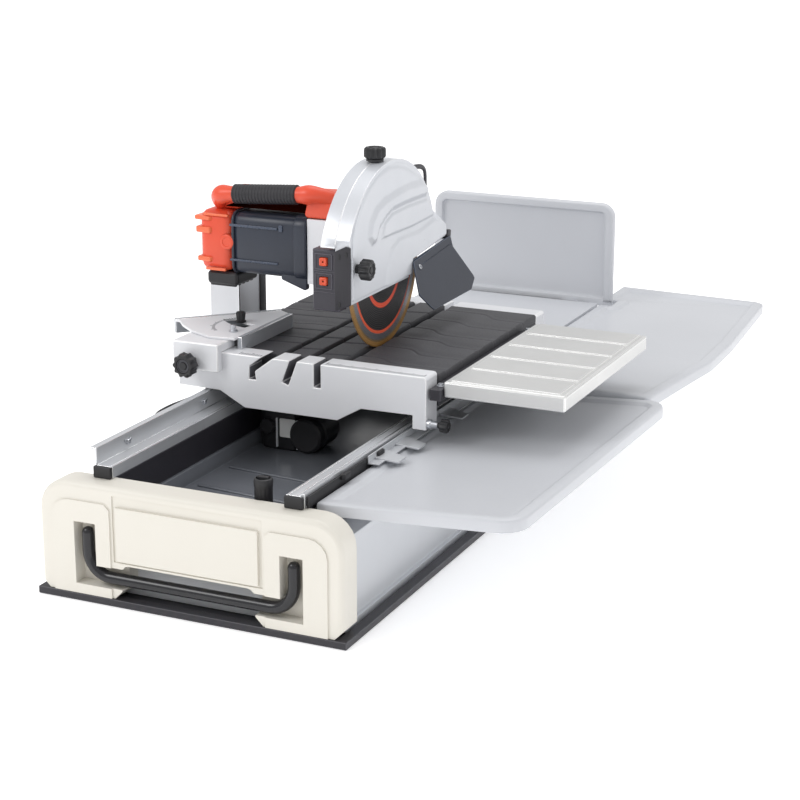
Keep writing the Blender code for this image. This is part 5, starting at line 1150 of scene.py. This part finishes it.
def blade_finish():
    """Bands by distance from the spindle's axis: steel, black print, orange ring, black with lathe
    lines, orange, ground steel, then the bronze bond of the rim."""
    material = bpy.data.materials.new("ground_and_printed_blade_steel")
    material.use_nodes = True
    tree = material.node_tree
    shader = tree.nodes["Principled BSDF"]
    place = add_node(tree, "ShaderNodeTexCoord").outputs["Object"]
    middle = add_node(tree, "ShaderNodeMapping", values={"Location": -blade_centre},
                      links={"Vector": place})
    flat = add_node(tree, "ShaderNodeVectorMath", {"operation": "MULTIPLY"}, {1: (0, 1, 1)},
                    {0: middle.outputs[0]})
    radius = add_node(tree, "ShaderNodeVectorMath", {"operation": "LENGTH"}, links={0: flat.outputs[0]})
    share = add_node(tree, "ShaderNodeMath", {"operation": "DIVIDE"}, {1: blade_radius},
                     {0: radius.outputs["Value"]})
    bands = [(0.0, "#9A9CA1"), (30, "#101013"), (58, "#E8502D"), (65, "#121114"), (101, "#E0552F"),
             (106, "#8F8E93"),
             (116, "#A98F6B"), (119, "#B98A4B")]
    metals = [(0.0, 0.9), (30, 0.0), (106, 0.9), (119, 0.55)]
    ramps = {}
    for label, stops in (("colour", bands), ("metal", metals)):
        ramp = add_node(tree, "ShaderNodeValToRGB", links={"Fac": share.outputs["Value"]})
        ramp.color_ramp.interpolation = "CONSTANT"
        while len(ramp.color_ramp.elements) < len(stops):
            ramp.color_ramp.elements.new(1.0)
        for element, (at, value) in zip(ramp.color_ramp.elements, stops):
            element.position = at / 1000 / blade_radius
            element.color = linear(value) if label == "colour" else (value, value, value, 1.0)
        ramps[label] = ramp
    # Lathe lines: drawn 3 mm apart, where the real ones are under 0.2 mm.
    wave = add_node(tree, "ShaderNodeMath", {"operation": "SINE"})
    rings = add_node(tree, "ShaderNodeMath", {"operation": "MULTIPLY"}, {1: 2 * math.pi / 0.003},
                     {0: radius.outputs["Value"]})
    tree.links.new(rings.outputs[0], wave.inputs[0])
    glint = add_node(tree, "ShaderNodeMapRange",
                     values={"From Min": 0.6, "From Max": 1.0, "To Min": 0.0, "To Max": 0.16},
                     links={"Value": wave.outputs[0]})
    mixed = add_node(tree, "ShaderNodeMix", {"data_type": "RGBA"}, {7: linear("#C9C4C2")},
                     {0: glint.outputs["Result"], 6: ramps["colour"].outputs["Color"]})
    dents = add_node(tree, "ShaderNodeBump", values={"Strength": 0.4, "Distance": 0.00006},
                     links={"Height": wave.outputs[0]})
    grit = add_node(tree, "ShaderNodeTexNoise", values={"Scale": 600.0}, links={"Vector": place})
    rough = add_node(tree, "ShaderNodeMapRange", values={"To Min": 0.2, "To Max": 0.42},
                     links={"Value": grit.outputs["Fac"]})
    tree.links.new(mixed.outputs[2], shader.inputs["Base Color"])
    tree.links.new(ramps["metal"].outputs["Color"], shader.inputs["Metallic"])
    tree.links.new(rough.outputs["Result"], shader.inputs["Roughness"])
    tree.links.new(dents.outputs["Normal"], shader.inputs["Normal"])
    shader.inputs["Specular IOR Level"].default_value = 0.25
    return material


# Half the thickness at each radius: a thin core, a hollow-ground shoulder and a thicker rim. A
# flange and a nut with six flats stand on the outer side, and the spindle behind it.
blade_profile = [
    (-0.0135, 0.0, 0), (-0.0135, 0.0075, 0), (-0.0070, 0.0080, 0), (-0.0070, 0.0190, 0),
    (-0.0060, 0.0200, 0), (-0.0011, 0.0200, 0),
    (-0.0009, 0.0210, 0), (-0.0009, 0.0580, 0), (-0.0009, 0.1010, 0), (-0.0008, 0.1150, 0),
    (-0.0011, 0.1175, 0),
    (-0.0011, 0.1266, 0), (-0.0007, 0.1270, 0), (0.0007, 0.1270, 0), (0.0011, 0.1266, 0),
    (0.0011, 0.1175, 0),
    (0.0008, 0.1150, 0), (0.0009, 0.1010, 0), (0.0009, 0.0580, 0), (0.0009, 0.0210, 0), (0.0011, 0.0200, 0),
    (0.0042, 0.0195, 0), (0.0050, 0.0180, 0), (0.0050, 0.0098, 1), (0.0096, 0.0096, 1),
    (0.0105, 0.0085, 1), (0.0105, 0.0, 0),
]
turned_piece("diamond_blade", blade_centre, (1, 0, 0), blade_profile, blade_finish(), "blade",
             "blade_steel", ("saw_blade",), 120, 6, 0.14)


# ---------------------------------------------------------------- splash flap
# A moulded rubber-plastic flap hangs from the guard's nose on a folded strip. A rivet is its
# hinge, and a small black bracket holds the strip's far end.
# Flap plastic: blue-black, smooth and slightly waxy.
flap_plastic = finish("moulded_polyethylene_blue_black", ("#2B2F3A", "#363B47"), 0.34, 0.004, 0.00006)
# The flap's trimmed edges, its strip and its fold are painted paler as highlights.
flap_edge_highlight = finish("polyethylene_painted_highlight", ("#4A5160", "#59606F"), 0.28, 0.004, 0.00004)
refined("splash_flap", "black_plastic", flap_plastic, 0.0010, 3, flap_edge_highlight)
strip = outline_round([(0.6150, 0.3835), (0.7660, 0.3990), (0.7660, 0.4040), (0.7560, 0.4045),
                       (0.6150, 0.3930)], 0.0015)
plate("flap_clamp_strip", strip, 0.0634, 0.0652, 0.0006, "YZ", flap_edge_highlight, "head", "black_plastic")
rise, lean = math.radians(5.8), math.radians(24)
flap_along = np.array((0, math.cos(rise), math.sin(rise)))
flap_out = np.array((math.cos(lean), -math.sin(lean) * math.sin(rise), math.sin(lean) * math.cos(rise)))
flap_down = np.cross(flap_along, flap_out)
flap_hinge = np.array((0.0655, 0.6120, 0.3905))
rivet_spot = flap_hinge + 0.012 * flap_along + 0.013 * flap_down + 0.0016 * flap_out
cap_screw("flap_rivet", rivet_spot, flap_out, 0.0042, 0.0034, "flap")
fold = inset_rings(outline_round(rectangle(0.022, 0.144, 0.0095, 0.0135), 0.0018),
                   [(0.0015, 0.0012), (0.0, 0.0018), (0.0003, 0.0026), (0.0012, 0.0030)])
fold = flap_hinge + fold[..., :1] * flap_along + fold[..., 1:2] * flap_down + fold[..., 2:] * flap_out
ring_piece("splash_flap_fold", fold, flap_edge_highlight, "flap", "black_plastic")
nose = outline_round([(0.7520, 0.4010), (0.7680, 0.4010), (0.7700, 0.4150), (0.7560, 0.4170)], 0.003)
plate("flap_nose_bracket", nose, 0.0480, 0.0660, 0.0015, "YZ", powder_black, "head", "black_steel")
